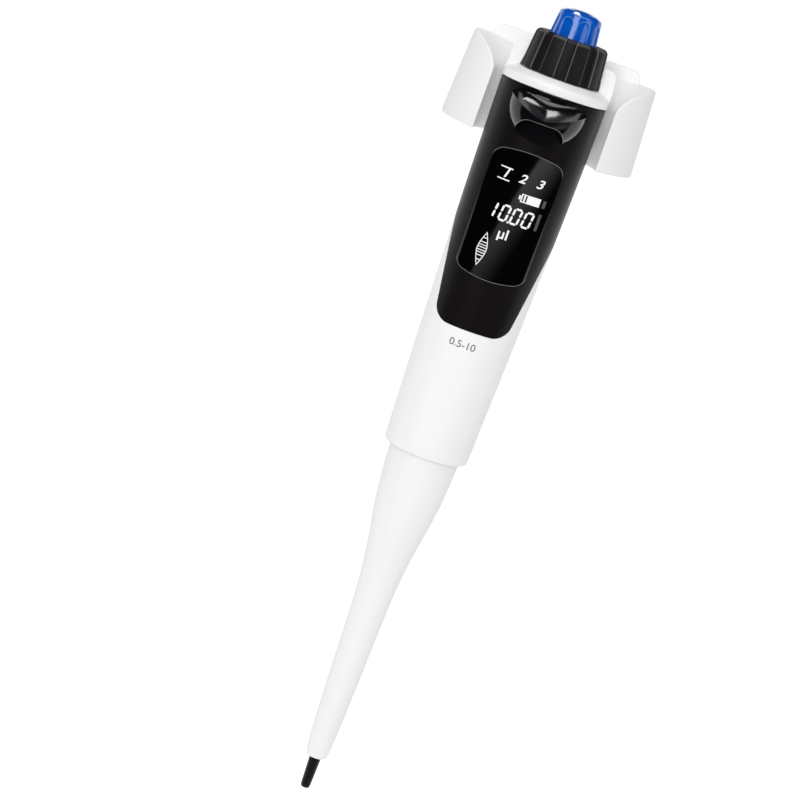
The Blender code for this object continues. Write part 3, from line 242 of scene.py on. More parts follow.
def mixNode(tree, factor, first, second):
    # mixes two colours, each given as three numbers or as a socket
    node = tree.nodes.new("ShaderNodeMix")
    node.data_type = 'RGBA'
    tree.links.new(factor, node.inputs["Factor"])
    for label, colour in (("A", first), ("B", second)):
        if isinstance(colour, tuple):
            node.inputs[label].default_value = (*colour, 1)
        else:
            tree.links.new(colour, node.inputs[label])
    return node.outputs["Result"]


def newFinish(name, colour, roughness, metallic=0.0, specular=0.5, coat=0.0, shift=0.04, spread=0.06,
              scale=2500.0, cloud=60.0, bump=0.1, dust=0, dustColour=(0.6, 0.6, 0.58), paintedHighlight=None):
    material = bpy.data.materials.new(name)
    material.use_nodes = True
    tree = material.node_tree
    shader = tree.nodes["Principled BSDF"]
    setInputs(shader, {"Metallic": metallic, "Specular IOR Level": specular, "Coat Weight": coat,
                       "Coat Roughness": 0.03})
    grain = tree.nodes.new("ShaderNodeGroup")
    grain.node_tree = mouldGrain
    setInputs(grain, {"Scale": scale, "Cloud": cloud})
    film = tree.nodes.new("ShaderNodeGroup")
    film.node_tree = dustFilm
    film.inputs["Amount"].default_value = dust
    darker = tuple(c * (1 - shift) for c in colour)
    lighter = tuple(min(c * (1 + shift), 1) for c in colour)
    base = mixNode(tree, grain.outputs["Mask"], darker, lighter)
    if paintedHighlight:
        # painted highlight: a paler colour mixed in where the mesh marks edges that catch light
        mark = tree.nodes.new("ShaderNodeAttribute")
        mark.attribute_name = "paintedHighlight"
        base = mixNode(tree, mark.outputs["Fac"], base, paintedHighlight)
    dusted = mixNode(tree, film.outputs["Mask"], base, dustColour)
    tree.links.new(dusted, shader.inputs["Base Color"])
    gloss = tree.nodes.new("ShaderNodeMapRange")
    setInputs(gloss, {"To Min": max(roughness - spread, 0.01), "To Max": roughness + spread})
    tree.links.new(grain.outputs["Mask"], gloss.inputs["Value"])
    tree.links.new(gloss.outputs["Result"], shader.inputs["Roughness"])
    if bump:
        relief = tree.nodes.new("ShaderNodeBump")
        setInputs(relief, {"Strength": bump, "Distance": 0.0001})
        tree.links.new(grain.outputs["Height"], relief.inputs["Height"])
        tree.links.new(relief.outputs["Normal"], shader.inputs["Normal"])
    return material


whiteShell = newFinish("whiteShell", (0.9, 0.9, 0.9), 0.3, shift=0.01, bump=0.03, dust=0.02)
whiteHolder = newFinish("whiteHolder", (0.92, 0.915, 0.92), 0.42, shift=0.012, bump=0.12, dust=0.03)
satinBlack = newFinish("satinBlack", (0.006, 0.0045, 0.0058), 0.33, specular=0.13, bump=0.2, dust=0.004, shift=0.1)
# its paler colour is a painted highlight on the rib crests and the top edge
knobBlack = newFinish("knobBlack", (0.0085, 0.007, 0.008), 0.46, specular=0.2, bump=1.0, dust=0.004, shift=0.3,
                      scale=1900, cloud=900, paintedHighlight=(0.16, 0.15, 0.155))
glossBlack = newFinish("glossBlack", (0.003, 0.0025, 0.0035), 0.11, bump=0.03, dust=0.002, shift=0.1, spread=0.03)
lensBlack = newFinish("lensBlack", (0.001, 0.0008, 0.001), 0.035, bump=0, dust=0.001, spread=0.015)
# a pale grey strip that stands for the highlight on polished edges: painted highlight
rimHighlight = newFinish("rimHighlight", (0.16, 0.15, 0.155), 0.15, bump=0, spread=0.02)
coneBlack = newFinish("coneBlack", (0.008, 0.0075, 0.008), 0.38, specular=0.2, bump=0.15, dust=0.003, shift=0.1)
# its paler blue is a painted highlight round the flutes' arches
glossBlue = newFinish("glossBlue", (0.0, 0.088, 0.5), 0.09, coat=0.6, bump=0.02, dust=0.003, spread=0.03,
                      paintedHighlight=(0.1, 0.36, 0.78))
steel = newFinish("steelBright", (0.6, 0.6, 0.62), 0.24, metallic=1, scale=6000)
brass = newFinish("brassTurned", (0.75, 0.55, 0.25), 0.28, metallic=1, scale=5000)
greyPlastic = newFinish("greyPlastic", (0.25, 0.26, 0.27), 0.5, bump=0.2)
naturalPlastic = newFinish("naturalPlastic", (0.72, 0.71, 0.66), 0.42)
boardGreen = newFinish("boardGreen", (0.02, 0.16, 0.07), 0.35)
cellWrap = newFinish("cellWrap", (0.05, 0.2, 0.45), 0.3, bump=0.05)
sealRubber = newFinish("sealRubber", (0.03, 0.03, 0.03), 0.7, bump=0.2)
magnetGrey = newFinish("magnetGrey", (0.16, 0.15, 0.15), 0.5, metallic=0.4, bump=0.3)
foamGrey = newFinish("foamGrey", (0.55, 0.55, 0.55), 0.9, bump=0.8, scale=1500)
litSegment = newFinish("litSegment", (0.92, 0.92, 0.92), 0.08, bump=0, shift=0.0)
dimSegment = newFinish("dimSegment", (0.09, 0.1, 0.095), 0.08, bump=0, shift=0.0)
greyInk = newFinish("greyInk", (0.15, 0.15, 0.16), 0.35, bump=0)
print("finishes made")

# shared modelling steps


def newObject(name, shape):
    mesh = bpy.data.meshes.new(name)
    shape.to_mesh(mesh)
    shape.free()
    item = bpy.data.objects.new(name, mesh)
    scene.collection.objects.link(item)
    return item


def shapeOf(item):
    # an object's shape with its modifiers
    bpy.context.view_layer.update()
    mesh = bpy.data.meshes.new_from_object(item.evaluated_get(bpy.context.evaluated_depsgraph_get()))
    shape = bmesh.new()
    shape.from_mesh(mesh)
    bpy.data.meshes.remove(mesh)
    return shape


def addPiece(name, shape, material, body, stands, sharp=35, edge=0.0, edgeAngle=35, segments=2, wall=0.0):
    # the shape is in mm from the tip; it becomes an object at the row frame's origin
    bmesh.ops.scale(shape, vec=(mm, mm, mm), verts=shape.verts)
    bmesh.ops.translate(shape, vec=tipPlace * mm, verts=shape.verts)
    piece = newObject(name, shape)
    piece.data.shade_smooth()
    piece.data.set_sharp_from_angle(angle=math.radians(sharp))
    piece.data.materials.append(material)
    if wall:
        thick = piece.modifiers.new("wall", 'SOLIDIFY')
        thick.thickness = wall * mm
        thick.offset = -1
        thick.use_even_offset = True
    if edge:
        bevel = piece.modifiers.new("edges", 'BEVEL')
        bevel.width = edge * mm
        bevel.segments = segments
        bevel.limit_method = 'ANGLE'
        bevel.angle_limit = math.radians(edgeAngle)
        bevel.harden_normals = True
    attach(piece, body)
    if stands:
        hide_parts(*stands)


def onCircle(radius, angle, height):
    return (radius * math.sin(angle), -radius * math.cos(angle), height)


def legOf(radius, across):
    # how far a circle's point lies from the axis plane
    return math.sqrt(radius ** 2 - across ** 2)


def evenNormals(shape):
    bmesh.ops.recalc_face_normals(shape, faces=shape.faces)


def spunShape(profile, steps=144, turn=2 * math.pi, start=0.0):
    # turns a profile of (radius, height) round the pipette's axis
    shape = bmesh.new()
    points = [shape.verts.new(onCircle(radius, start, height)) for radius, height in profile]
    edges = [shape.edges.new(pair) for pair in zip(points, points[1:])]
    full = turn > 6.28
    bmesh.ops.spin(shape, geom=points + edges, cent=(0, 0, 0), axis=(0, 0, 1), dvec=(0, 0, 0), angle=turn,
                   steps=steps, use_merge=full, use_duplicate=False)
    bmesh.ops.remove_doubles(shape, verts=shape.verts, dist=0.0004)
    evenNormals(shape)
    return shape


def filleted(corners, steps=4):
    # rounds an open profile's corners: each is (across, up, radius)
    points = []
    for index, (across, up, radius) in enumerate(corners):
        here = Vector((across, up))
        if not radius or index in (0, len(corners) - 1):
            points.append(here)
            continue
        before = (Vector(corners[index - 1][:2]) - here).normalized()
        after = (Vector(corners[index + 1][:2]) - here).normalized()
        half = before.angle(after) / 2
        centre = here + (before + after).normalized() * radius / math.sin(half)
        first = here + before * radius / math.tan(half) - centre
        last = here + after * radius / math.tan(half) - centre
        for step in range(steps + 1):
            points.append(centre + first.slerp(last, step / steps).normalized() * radius)
    return points


def mappedGrid(columns, rows, toPoint):
    # a grid bent to shape: toPoint gives the place for column and row shares from 0 to 1
    shape = bmesh.new()
    bmesh.ops.create_grid(shape, x_segments=columns, y_segments=rows, size=1)
    for vert in shape.verts:
        vert.co = toPoint((vert.co.x + 1) / 2, (vert.co.y + 1) / 2)
    return shape


def addShape(target, extra):
    mesh = bpy.data.meshes.new("join")
    extra.to_mesh(mesh)
    extra.free()
    target.from_mesh(mesh)
    bpy.data.meshes.remove(mesh)


def prism(outline, low, high, axis=2):
    # a closed solid from a flat outline that lies across the axis, from low to high along it
    shape = bmesh.new()
    points = [list(point) for point in outline]
    for point in points:
        point.insert(axis, low)
    face = shape.faces.new([shape.verts.new(point) for point in points])
    along = [0, 0, 0]
    along[axis] = high - low
    grown = bmesh.ops.extrude_face_region(shape, geom=[face])
    bmesh.ops.translate(shape, vec=along, verts=[v for v in grown["geom"] if isinstance(v, bmesh.types.BMVert)])
    evenNormals(shape)
    return shape


def smoothStep(value):
    value = min(max(value, 0), 1)
    return value * value * (3 - 2 * value)


# handle
handle = {
    "foot": 120.6, "head": 243.0, "footR": 14.05, "headR": 17.3, "swell": 1.4, "wall": 2.0, "lip": 1.0,
    "panelFoot": 164.5, "panelStep": 209.6, "panelWide": 18.3, "panelHalfFoot": 11.9, "panelCorner": 5.5,
    "panelGap": 0.12, "panelWall": 1.6, "taperFoot": 170.5, "taperRows": 36, "lowRows": 18, "edge": 0.12,
    "backColumns": 110, "frontColumns": 60,
}


def handleRadius(height):
    share = min(max((height - handle["foot"]) / (handle["head"] - handle["foot"]), 0), 1)
    return handle["footR"] + (handle["headR"] - handle["footR"]) * (1 - (1 - share) ** handle["swell"])


def panelHalf(height):
    # half-width of the front panel at a height: a taper with a rounded lower corner
    foot, low, corner = handle["panelFoot"], handle["panelHalfFoot"], handle["panelCorner"]
    lean = (handle["panelWide"] - low) / (handle["panelStep"] - foot)
    up = Vector((lean, 1)).normalized()
    half = up.angle(Vector((-1, 0))) / 2
    reach = corner / math.tan(half)
    if height < foot + reach * up.y:
        drop = min(foot + corner - height, corner)
        return low - reach + legOf(corner, drop)
    return low + (height - foot) * lean


def panelAngle(height, gap):
    radius = handleRadius(height)
    half = panelHalf(height) - gap
    full = math.pi / 2 - gap / radius
    return min(math.asin(min(half / radius, 1)), full)


def onHandle(angle, height):
    return onCircle(handleRadius(height), angle, height)


cornerRows = [handle["panelFoot"] + handle["panelCorner"] * (1 - math.cos(math.radians(a))) for a in range(0, 90, 9)]
taperStep = (handle["head"] - handle["taperFoot"]) / handle["taperRows"]
panelRows = cornerRows + [handle["taperFoot"] + taperStep * i for i in range(handle["taperRows"] + 1)]


def rowAt(rows, share):
    return rows[round(share * (len(rows) - 1))]


def buildHandle():
    foot, head, lip, gap = handle["foot"], handle["head"], handle["lip"], handle["panelGap"]
    rowStep = (handle["panelFoot"] - foot - lip) / handle["lowRows"]
    lowRows = [foot + lip + rowStep * i for i in range(handle["lowRows"] + 1)]
    lipAngles = [math.radians(a) for a in (0, 22, 45, 67, 90)]

    def lowPoint(angle, row):
        if row < len(lipAngles) - 1:
            bend = lipAngles[row]
            radius = handleRadius(foot + lip) - lip * (1 - math.sin(bend))
            height = foot + lip * (1 - math.cos(bend))
            return onCircle(radius, angle, height)
        return onHandle(angle, lowRows[row - len(lipAngles) + 1])

    lowCount = len(lipAngles) - 1 + len(lowRows)
    footAngle = panelAngle(handle["panelFoot"], 0)

    def backLow(across, up):
        angle = footAngle + (2 * math.pi - 2 * footAngle) * across
        return lowPoint(angle, round(up * (lowCount - 1)))

    def frontLow(across, up):
        return lowPoint(-footAngle + 2 * footAngle * across, round(up * (lowCount - 1)))

    def backHigh(across, up):
        height = rowAt(panelRows, up)
        edge = panelAngle(height, 0)
        return onHandle(edge + (2 * math.pi - 2 * edge) * across, height)

    shape = mappedGrid(handle["backColumns"], lowCount - 1, backLow)
    addShape(shape, mappedGrid(handle["frontColumns"], lowCount - 1, frontLow))
    addShape(shape, mappedGrid(handle["backColumns"], len(panelRows) - 1, backHigh))
    bmesh.ops.remove_doubles(shape, verts=shape.verts, dist=0.001)
    evenNormals(shape)
    faceOutwards(shape)
    addPiece("handleShell", shape, whiteShell, "pipette", ["main_housing"], wall=handle["wall"],
             edge=handle["edge"], edgeAngle=50)

    shorter = 1 - gap / (head - handle["panelFoot"])

    def panelPoint(across, up):
        height = head - (head - rowAt(panelRows, up)) * shorter
        edge = panelAngle(height, gap)
        return onHandle(-edge + 2 * edge * across, height)

    shape = mappedGrid(handle["frontColumns"] * 2, len(panelRows) - 1, panelPoint)
    faceOutwards(shape)
    addPiece("frontPanel", shape, satinBlack, "pipette", ["front_panel"], wall=handle["panelWall"],
             edge=handle["edge"], edgeAngle=50)


def faceOutwards(shape):
    # turns an open skin's faces away from the pipette's axis
    total = 0
    for face in shape.faces:
        middle = face.calc_center_median()
        total += face.normal.x * middle.x + face.normal.y * middle.y
    if total < 0:
        bmesh.ops.reverse_faces(shape, faces=shape.faces)


buildHandle()
print("handle built")

# display
display = {
    "half": 11.55, "foot": 181.8, "head": 223.8, "arch": 1.7, "corner": 3.0, "lift": 0.12, "thickness": 0.9,
    "inkLift": 0.14, "darkLift": 0.16, "rangeLift": 0.02, "rim": 0.2, "rimFade": 1.6, "cornerSteps": 12,
    "runSteps": 24, "grid": 64, "strips": 23, "edge": 0.16,
}

lensMiddle = (display["foot"] + display["head"]) / 2
lensTall = (display["head"] - display["foot"]) / 2


def buildLens():
    corner = display["corner"]

    def lensPoint(across, up):
        # rows crowd towards the ends, where the corners are round
        up = 0.5 - 0.5 * math.cos(math.pi * up)
        side = 2 * up - 1
        straight = lensTall - display["arch"]
        past = abs(side) * straight - (straight - corner)
        half = display["half"]
        if past > 0:
            half = half - corner + math.sqrt(max(corner ** 2 - past ** 2, 0))
        x = half * (2 * across - 1)
        height = lensMiddle + side * (lensTall - display["arch"] * (x / display["half"]) ** 2)
        radius = handleRadius(height) + display["lift"]
        return (x, -legOf(radius, x), height)

    shape = mappedGrid(display["grid"], display["grid"], lensPoint)
    faceOutwards(shape)
    addPiece("displayLens", shape, lensBlack, "pipette", ["display_lens"], wall=display["thickness"],
             edge=display["edge"], edgeAngle=50, segments=3)


def buildLensRim():
    # painted highlight along the lens's edge: a pale strip, widest at its top and bottom
    corner, half, arch = display["corner"], display["half"], display["arch"]
    turns, runs = display["cornerSteps"], display["runSteps"]
    for name, side in (("lensRimTop", 1), ("lensRimBottom", -1)):
        line = []
        for i in range(turns + 1):
            bend = math.radians(90 * i / turns)
            x = half - corner + corner * math.cos(bend)
            line.append((x, lensTall - arch * (x / half) ** 2 - corner * (1 - math.sin(bend)), bend))
        for i in range(1, runs + 1):
            x = (half - corner) * (1 - i / runs)
            line.append((x, lensTall - arch * (x / half) ** 2, math.pi / 2))
        line += [(-x, up, math.pi - bend) for x, up, bend in reversed(line[:-1])]
        count = len(line) - 1

        def rimPoint(across, up):
            x, height, bend = line[round(across * count)]
            width = display["rim"] * smoothStep(display["rimFade"] * math.sin(bend)) * up
            x += width * math.cos(bend)
            return (x, 0, lensMiddle + side * (height + width * math.sin(bend)))

        addMarks(name, mappedGrid(count, 2, rimPoint), rimHighlight)


def wrapped(shape, lift):
    # lays a flat drawing (x, height) on the handle's front, cut into narrow strips first
    for strip in range(-display["strips"], display["strips"] + 1):
        bmesh.ops.bisect_plane(shape, geom=shape.verts[:] + shape.edges[:] + shape.faces[:], dist=0.0001,
                               plane_co=(strip / 2, 0, 0), plane_no=(1, 0, 0))
    for vert in shape.verts:
        radius = handleRadius(vert.co.z) + lift
        vert.co.y = -legOf(radius, vert.co.x)


def flatPolygon(shape, points):
    shape.faces.new([shape.verts.new((x, 0, z)) for x, z in points])


def strokeShape(shape, start, end, width):
    # a seven-segment bar: a hexagon between two points
    start = Vector(start)
    end = Vector(end)
    along = (end - start).normalized()
    side = Vector((-along.y, along.x)) * width / 2
    tip = along * width / 2
    points = [start, start + tip + side, end - tip + side, end, end - tip - side, start + tip - side]
    flatPolygon(shape, points)


readout = {
    "digits": "1000", "x": (-5.2, -3.25, 0.5, 4.25), "z": 201.35, "width": 2.3, "height": 4.85, "bar": 0.66,
    "slant": 0.13, "inset": 0.09, "segments": {"0": "abcdef", "1": "bc"},
}


def digitShape(shape, digit, x):
    # seven-segment digit with its lower left corner at x
    height = readout["height"]

    def at(across, up):
        return (x + across * readout["width"] + readout["slant"] * up * height, readout["z"] + up * height)

    ends = {
        "a": ((0, 1), (1, 1)), "b": ((1, 1), (1, 0.5)), "c": ((1, 0.5), (1, 0)), "d": ((0, 0), (1, 0)),
        "e": ((0, 0.5), (0, 0)), "f": ((0, 1), (0, 0.5)),
    }
    for letter in readout["segments"][digit]:
        (ax, az), (bx, bz) = ends[letter]
        start = Vector(at(ax, az))
        end = Vector(at(bx, bz))
        along = (end - start).normalized() * readout["inset"]
        strokeShape(shape, start + along, end - along, readout["bar"])


def boxShape(shape, x, z, width, height):
    flatPolygon(shape, [(x, z), (x + width, z), (x + width, z + height), (x, z + height)])


def textShape(text, size, x, z, squeeze, weight, slant=0.0):
    # plain lettering, centred on (x, z)
    curve = bpy.data.curves.new("lettering", 'FONT')
    curve.body = text
    curve.size = size
    curve.offset = weight
    curve.shear = slant
    curve.align_x = 'CENTER'
    curve.align_y = 'CENTER'
    lettering = bpy.data.objects.new("lettering", curve)
    scene.collection.objects.link(lettering)
    shape = shapeOf(lettering)
    bpy.data.objects.remove(lettering)
    bpy.data.curves.remove(curve)
    for vert in shape.verts:
        vert.co = (x + vert.co.x * squeeze, 0, z + vert.co.y)
    return shape


marks = {
    "point": (-0.25, 201.05, 0.6, 0.6),  # boxes: left, foot, width, height
    "modes": (-5.6, 0.0, 5.7), "mode": (4.0, 215.6, 1.15, 0.07, 0.25),  # size, height, squeeze, weight, slant
    "modeBars": ((-7.75, 217.2, 4.0, 0.4), (-7.75, 213.4, 4.0, 0.4)),
    "charge": ((1.45, 208.7, 6.15, 2.7), (0.75, 209.4, 0.6, 1.3)),
    "chargeGaps": ((1.9, 208.95, 0.4, 2.2), (2.85, 208.95, 0.5, 2.2)),
    "bars": ((8.5, 208.8, 0.9, 2.4), (8.5, 201.3, 0.9, 5.4)),
    "unit": (4.6, -0.1, 197.2, 1.05, 0.08), "range": (3.3, -0.3, 159.8, 1.04, 0.02),
    "levelX": -4.8, "levelZ": 190.75, "levelFoot": 185.15, "levelTall": 11.2, "levelReach": 5.6, "levelHalf": 1.65,
    "levelShape": 1.6, "levelSteps": 20, "levelLine": 0.28,
    "levelLines": (187.2, 188.6, 189.5, 190.3, 191.2, 192.0, 192.9, 194.3),
}


def levelHalf(z):
    return marks["levelHalf"] * max(1 - abs((z - marks["levelZ"]) / marks["levelReach"]) ** marks["levelShape"], 0)


def addMarks(name, shape, material, lift=display["inkLift"]):
    wrapped(shape, lift)
    faceOutwards(shape)
    addPiece(name, shape, material, "pipette", ())


def buildDisplayMarks():
    lit = bmesh.new()
    for digit, x in zip(readout["digits"], readout["x"]):
        digitShape(lit, digit, x - readout["width"] if digit == "1" else x)
    boxShape(lit, *marks["point"])
    size, z, squeeze, weight, slant = marks["mode"]
    for index, x in enumerate(marks["modes"]):
        addShape(lit, textShape(str(index + 1), size, x, z, squeeze, weight, slant))
    for box in marks["modeBars"] + marks["charge"]:
        boxShape(lit, *box)
    addShape(lit, textShape("µl", *marks["unit"]))
    # level mark: a slender outline with closer lines across its middle
    middle = marks["levelX"]
    line = marks["levelLine"]
    steps = marks["levelSteps"]
    heights = [marks["levelFoot"] + marks["levelTall"] * i / steps for i in range(steps + 1)]
    for low, high in zip(heights, heights[1:]):
        for side in (-1, 1):
            near, far = levelHalf(low), levelHalf(high)
            inner = [max(near - line, 0), max(far - line, 0)]
            flatPolygon(lit, [(middle + side * inner[0], low), (middle + side * near, low),
                              (middle + side * far, high), (middle + side * inner[1], high)])
    for z in marks["levelLines"]:
        half = levelHalf(z)
        boxShape(lit, middle - half, z - line / 2, 2 * half, line)
    addMarks("displayMarks", lit, litSegment)
    dim = bmesh.new()
    for box in marks["bars"]:
        boxShape(dim, *box)
    addMarks("displayBars", dim, dimSegment)
    dark = bmesh.new()
    for box in marks["chargeGaps"]:
        boxShape(dark, *box)
    addMarks("displayGaps", dark, lensBlack, lift=display["darkLift"])
    addMarks("rangeMark", textShape("0.5-10", *marks["range"]), greyInk, display["rangeLift"])


buildLens()
buildLensRim()
buildDisplayMarks()
print("display built")

# top cap and finger hook
cap = {
    "radius": 17.5, "foot": 243.3, "crease": 245.9, "top": 247.8, "topR": 14.15, "roof": 246.2, "wall": 2.4,
    "hubR": 5.0, "hubTop": 255.0, "boreR": 2.45, "hoodR": 13.25, "hoodTopR": 12.75, "hoodTop": 255.0,
    "hoodCorner": 1.6, "setBack": 6.0,
}


def buildCap():
    bore, hub, radius = cap["boreR"], cap["hubR"], cap["radius"]
    roof, top, crease, foot = cap["roof"], cap["top"], cap["crease"], cap["foot"]
    inner = radius - cap["wall"]
    profile = filleted([
        (bore, roof, 0), (bore, cap["hubTop"], 0.3), (hub, cap["hubTop"], 0.4), (hub, top, 0.3),
        (cap["topR"], top, 0.5), (radius, crease, 0.9), (radius, foot, 0.35), (inner, foot, 0.2), (inner, roof, 0.5),
        (bore, roof, 0),
    ])
    shape = spunShape(profile, 192)
    addPiece("topCap", shape, whiteShell, "pipette", ["top_cap"], edge=0.25, edgeAngle=60)
    rim = filleted([
        (cap["hoodR"], crease, 0), (cap["hoodTopR"], cap["hoodTop"], 0.5),
        (radius - 0.02, cap["hoodTop"], cap["hoodCorner"]), (radius - 0.02, crease - 1, 0),
    ])
    hood = spunShape(rim + [rim[0]], 96, math.pi, math.pi / 2)
    rise = cap["hoodTop"] - top
    front = Vector((0, -rise, cap["setBack"])).normalized()  # its front edges lean back
    bmesh.ops.bisect_plane(hood, geom=hood.verts[:] + hood.edges[:] + hood.faces[:], dist=0.001,
                           plane_co=(0, 0, top), plane_no=front, clear_outer=True)
    bmesh.ops.holes_fill(hood, edges=hood.edges)
    evenNormals(hood)
    addPiece("capHood", hood, whiteShell, "pipette", (), edge=0.45, edgeAngle=50, segments=3)


hook = {"inside": 16.7, "top": 253.4, "tip": 26.1, "thickness": 3.0, "drop": 7.0, "width": 13.0}


def buildHook():
    foot = hook["top"] - hook["thickness"]
    end = foot - hook["drop"]
    nose = hook["tip"] - hook["thickness"]
    outline = filleted([
        (hook["inside"], hook["top"], 0), (hook["tip"], hook["top"], 2.5), (hook["tip"], end, 1.2), (nose, end, 1.2),
        (nose, foot, 1.8), (hook["inside"], foot, 0),
    ], 8)
    shape = prism(outline, -hook["width"] / 2, hook["width"] / 2, 0)
    addPiece("fingerHook", shape, whiteShell, "pipette", ["finger_hook"], edge=0.5, edgeAngle=60,
             segments=3)


buildCap()
buildHook()
print("cap and hook built")


def cutFlutes(shape, piece, toCut):
    # sinks grooves into a turned shape: toCut says how deep a point lies in one and how much painted highlight it gets
    paintedHighlight = shape.verts.layers.float.new("paintedHighlight")
    pitch = 360 / piece["flutes"]
    for vert in shape.verts:
        radius = math.hypot(vert.co.x, vert.co.y)
        if radius < piece["plainR"]:
            continue
        angle = math.degrees(math.atan2(vert.co.x, -vert.co.y)) - piece["turn"]
        cut, vert[paintedHighlight] = toCut(radius, vert.co.z, abs((angle + pitch / 2) % pitch - pitch / 2))
        scale = 1 - piece["depth"] * cut / radius
        vert.co.x *= scale
        vert.co.y *= scale
    evenNormals(shape)


# setting knob
knob = {
    "foot": 248.1, "top": 260.8, "baseR": 12.95, "topR": 11.8, "edge": 1.7, "footEdge": 0.6, "recessR": 8.25,
    "web": 253.3, "webDrop": 1.6, "skirtR": 11.6, "flutes": 9, "turn": 0, "groove": 16.0, "wall": 1.8, "depth": 1.0,
    "boreR": 5.35, "crestHighlightHalf": 0.9, "plainR": 9.5, "outsideR": 10.3, "outsideFade": 0.8, "topShine": 0.35,
    "steps": 720,
}


def buildKnob():
    profile = filleted([
        (knob["boreR"], knob["web"], 0), (knob["recessR"], knob["web"], 0.3), (knob["recessR"], knob["top"], 0.35),
        (knob["topR"], knob["top"], knob["edge"]), (knob["baseR"], knob["foot"], knob["footEdge"]),
        (knob["skirtR"], knob["foot"], 0.2), (knob["skirtR"], knob["web"] - knob["webDrop"], 0),
    ], 5)

    # rib crests and the top edge get a painted highlight, a paler colour where light would catch them
    def toCut(radius, height, off):
        cut = smoothStep((knob["groove"] / 2 - off) / knob["wall"] + 0.5)
        outside = smoothStep((radius - knob["outsideR"]) / knob["outsideFade"])
        crest = abs(off - knob["groove"] / 2 - knob["wall"] / 2)
        paintedHighlight = max(1 - crest / knob["crestHighlightHalf"], 0) * outside
        if height > knob["top"] - knob["edge"] / 2:
            paintedHighlight = max(paintedHighlight, knob["topShine"] * (1 - cut)) * outside
        return cut * outside, paintedHighlight

    shape = spunShape(profile, knob["steps"])
    cutFlutes(shape, knob, toCut)
    addPiece("settingKnob", shape, knobBlack, "knob", ["setting_knob"], sharp=50)


buildKnob()
print("knob built")

# operate button
button = {
    "foot": 257.8, "top": 270.0, "baseR": 7.7, "shoulderR": 7.0, "crownR": 5.15, "flutes": 8, "turn": 16.0,
    "half": 1.9, "depth": 0.6, "wall": 0.4, "archTop": 266.9, "cavityR": 5.2, "baseZ": 260.8, "skirtRows": 3,
    "sideRows": 60, "sideTop": 267.3, "shoulderZ": 268.3, "shoulderIn": 0.1, "crownZ": 269.2, "domeR": 2.8,
    "domeZ": 269.8, "plainR": 6.0, "paintedHighlight": 0.8, "shineOff": 0.15, "shineHalf": 0.22, "shineFoot": 261.0,
    "shineFade": 4.0, "steps": 640,
}


def buildButton():
    foot, low, high = button["foot"], button["baseZ"], button["sideTop"]
    base, shoulder = button["baseR"], button["shoulderR"]
    skirt, rows = button["skirtRows"], button["sideRows"]
    side = [(base, foot + (low - foot) * i / skirt) for i in range(skirt)]
    side += [(base + (shoulder - base) * i / rows, low + (high - low) * i / rows) for i in range(rows + 1)]
    crown = filleted([
        (shoulder, high, 0), (shoulder - button["shoulderIn"], button["shoulderZ"], 0.9),
        (button["crownR"], button["crownZ"], 1.2), (button["domeR"], button["domeZ"], 3.0), (0.0, button["top"], 0),
    ], 5)
    profile = [(button["cavityR"], foot)] + side + [tuple(p) for p in crown[1:]]

    # each flute's arch outline gets a painted highlight, fading out towards the foot
    def toCut(radius, height, off):
        across = math.radians(off) * radius
        up = height - (button["archTop"] - button["half"])
        reach = math.hypot(across, up) if up > 0 else across
        cut = smoothStep((button["half"] - reach) / button["wall"] + 0.5)
        highlightBand = max(1 - abs(reach - button["half"] - button["shineOff"]) / button["shineHalf"], 0)
        return cut, button["paintedHighlight"] * highlightBand * smoothStep((height - button["shineFoot"]) / button["shineFade"])

    shape = spunShape(profile, button["steps"])
    cutFlutes(shape, button, toCut)
    addPiece("operateButton", shape, glossBlue, "button", ["operate_button"], sharp=60)


buildButton()
print("button built")

# ejector trigger
trigger = {
    "half": 12.3, "reach": 9.0, "earReach": 2.2, "height": 12.6, "earsZ": 240.1, "earThickness": 0.35,
    "earTaper": 4.3, "squareness": 2.2, "fullness": 0.42, "lipSag": 4.7, "lipShape": 1.5, "flankFall": 1.2,
    "noseRound": 4, "hollow": 1.8, "head": 243.0, "archHalf": 7.8, "archUnder": 1.2, "archCorner": 4.2,
    "skinR": 18.55, "backR": 17.65, "edgeR": 17.95, "rim": 0.2, "rimStart": 0.06, "rimLift": 0.02, "split": 48,
    "cheekSteps": 18, "crestSteps": 64,
}


def triggerShare(x):
    return min(abs(x) / trigger["half"], 1)


def lipHeight(x):
    return trigger["earsZ"] - trigger["lipSag"] * (1 - triggerShare(x) ** trigger["lipShape"])


def shieldFoot(x):
    ears = trigger["earsZ"] - trigger["earThickness"]
    fullness = (1 - triggerShare(x) ** trigger["squareness"]) ** trigger["fullness"]
    return ears - (trigger["height"] - trigger["earThickness"]) * fullness


def shieldHead(x):
    ears = trigger["earsZ"] + trigger["earThickness"]
    return ears + (trigger["head"] - ears) * min((1 - triggerShare(x)) * trigger["half"] / trigger["earTaper"], 1)


def triggerOut(x, z):
    # how far the trigger's front stands from the pipette's axis plane
    share = triggerShare(x)
    topR = handle["headR"]
    panel = legOf(topR, x)
    endReach = legOf(topR, trigger["half"]) + trigger["earReach"]
    reach = endReach + (topR + trigger["reach"] - endReach) * math.sqrt(1 - share ** 2) ** trigger["flankFall"]
    lip = lipHeight(x)
    foot = shieldFoot(x)
    if z <= lip:
        step = min(max((z - foot) / (lip - foot), 0), 1)
        out = panel + (reach - panel) * math.sqrt(1 - (1 - step) ** trigger["noseRound"])
    else:
        step = min((z - lip) / (shieldHead(x) - lip), 1)
        out = panel + (reach - panel) * (1 - step) ** trigger["hollow"]
    return max(out, legOf(trigger["edgeR"], x))


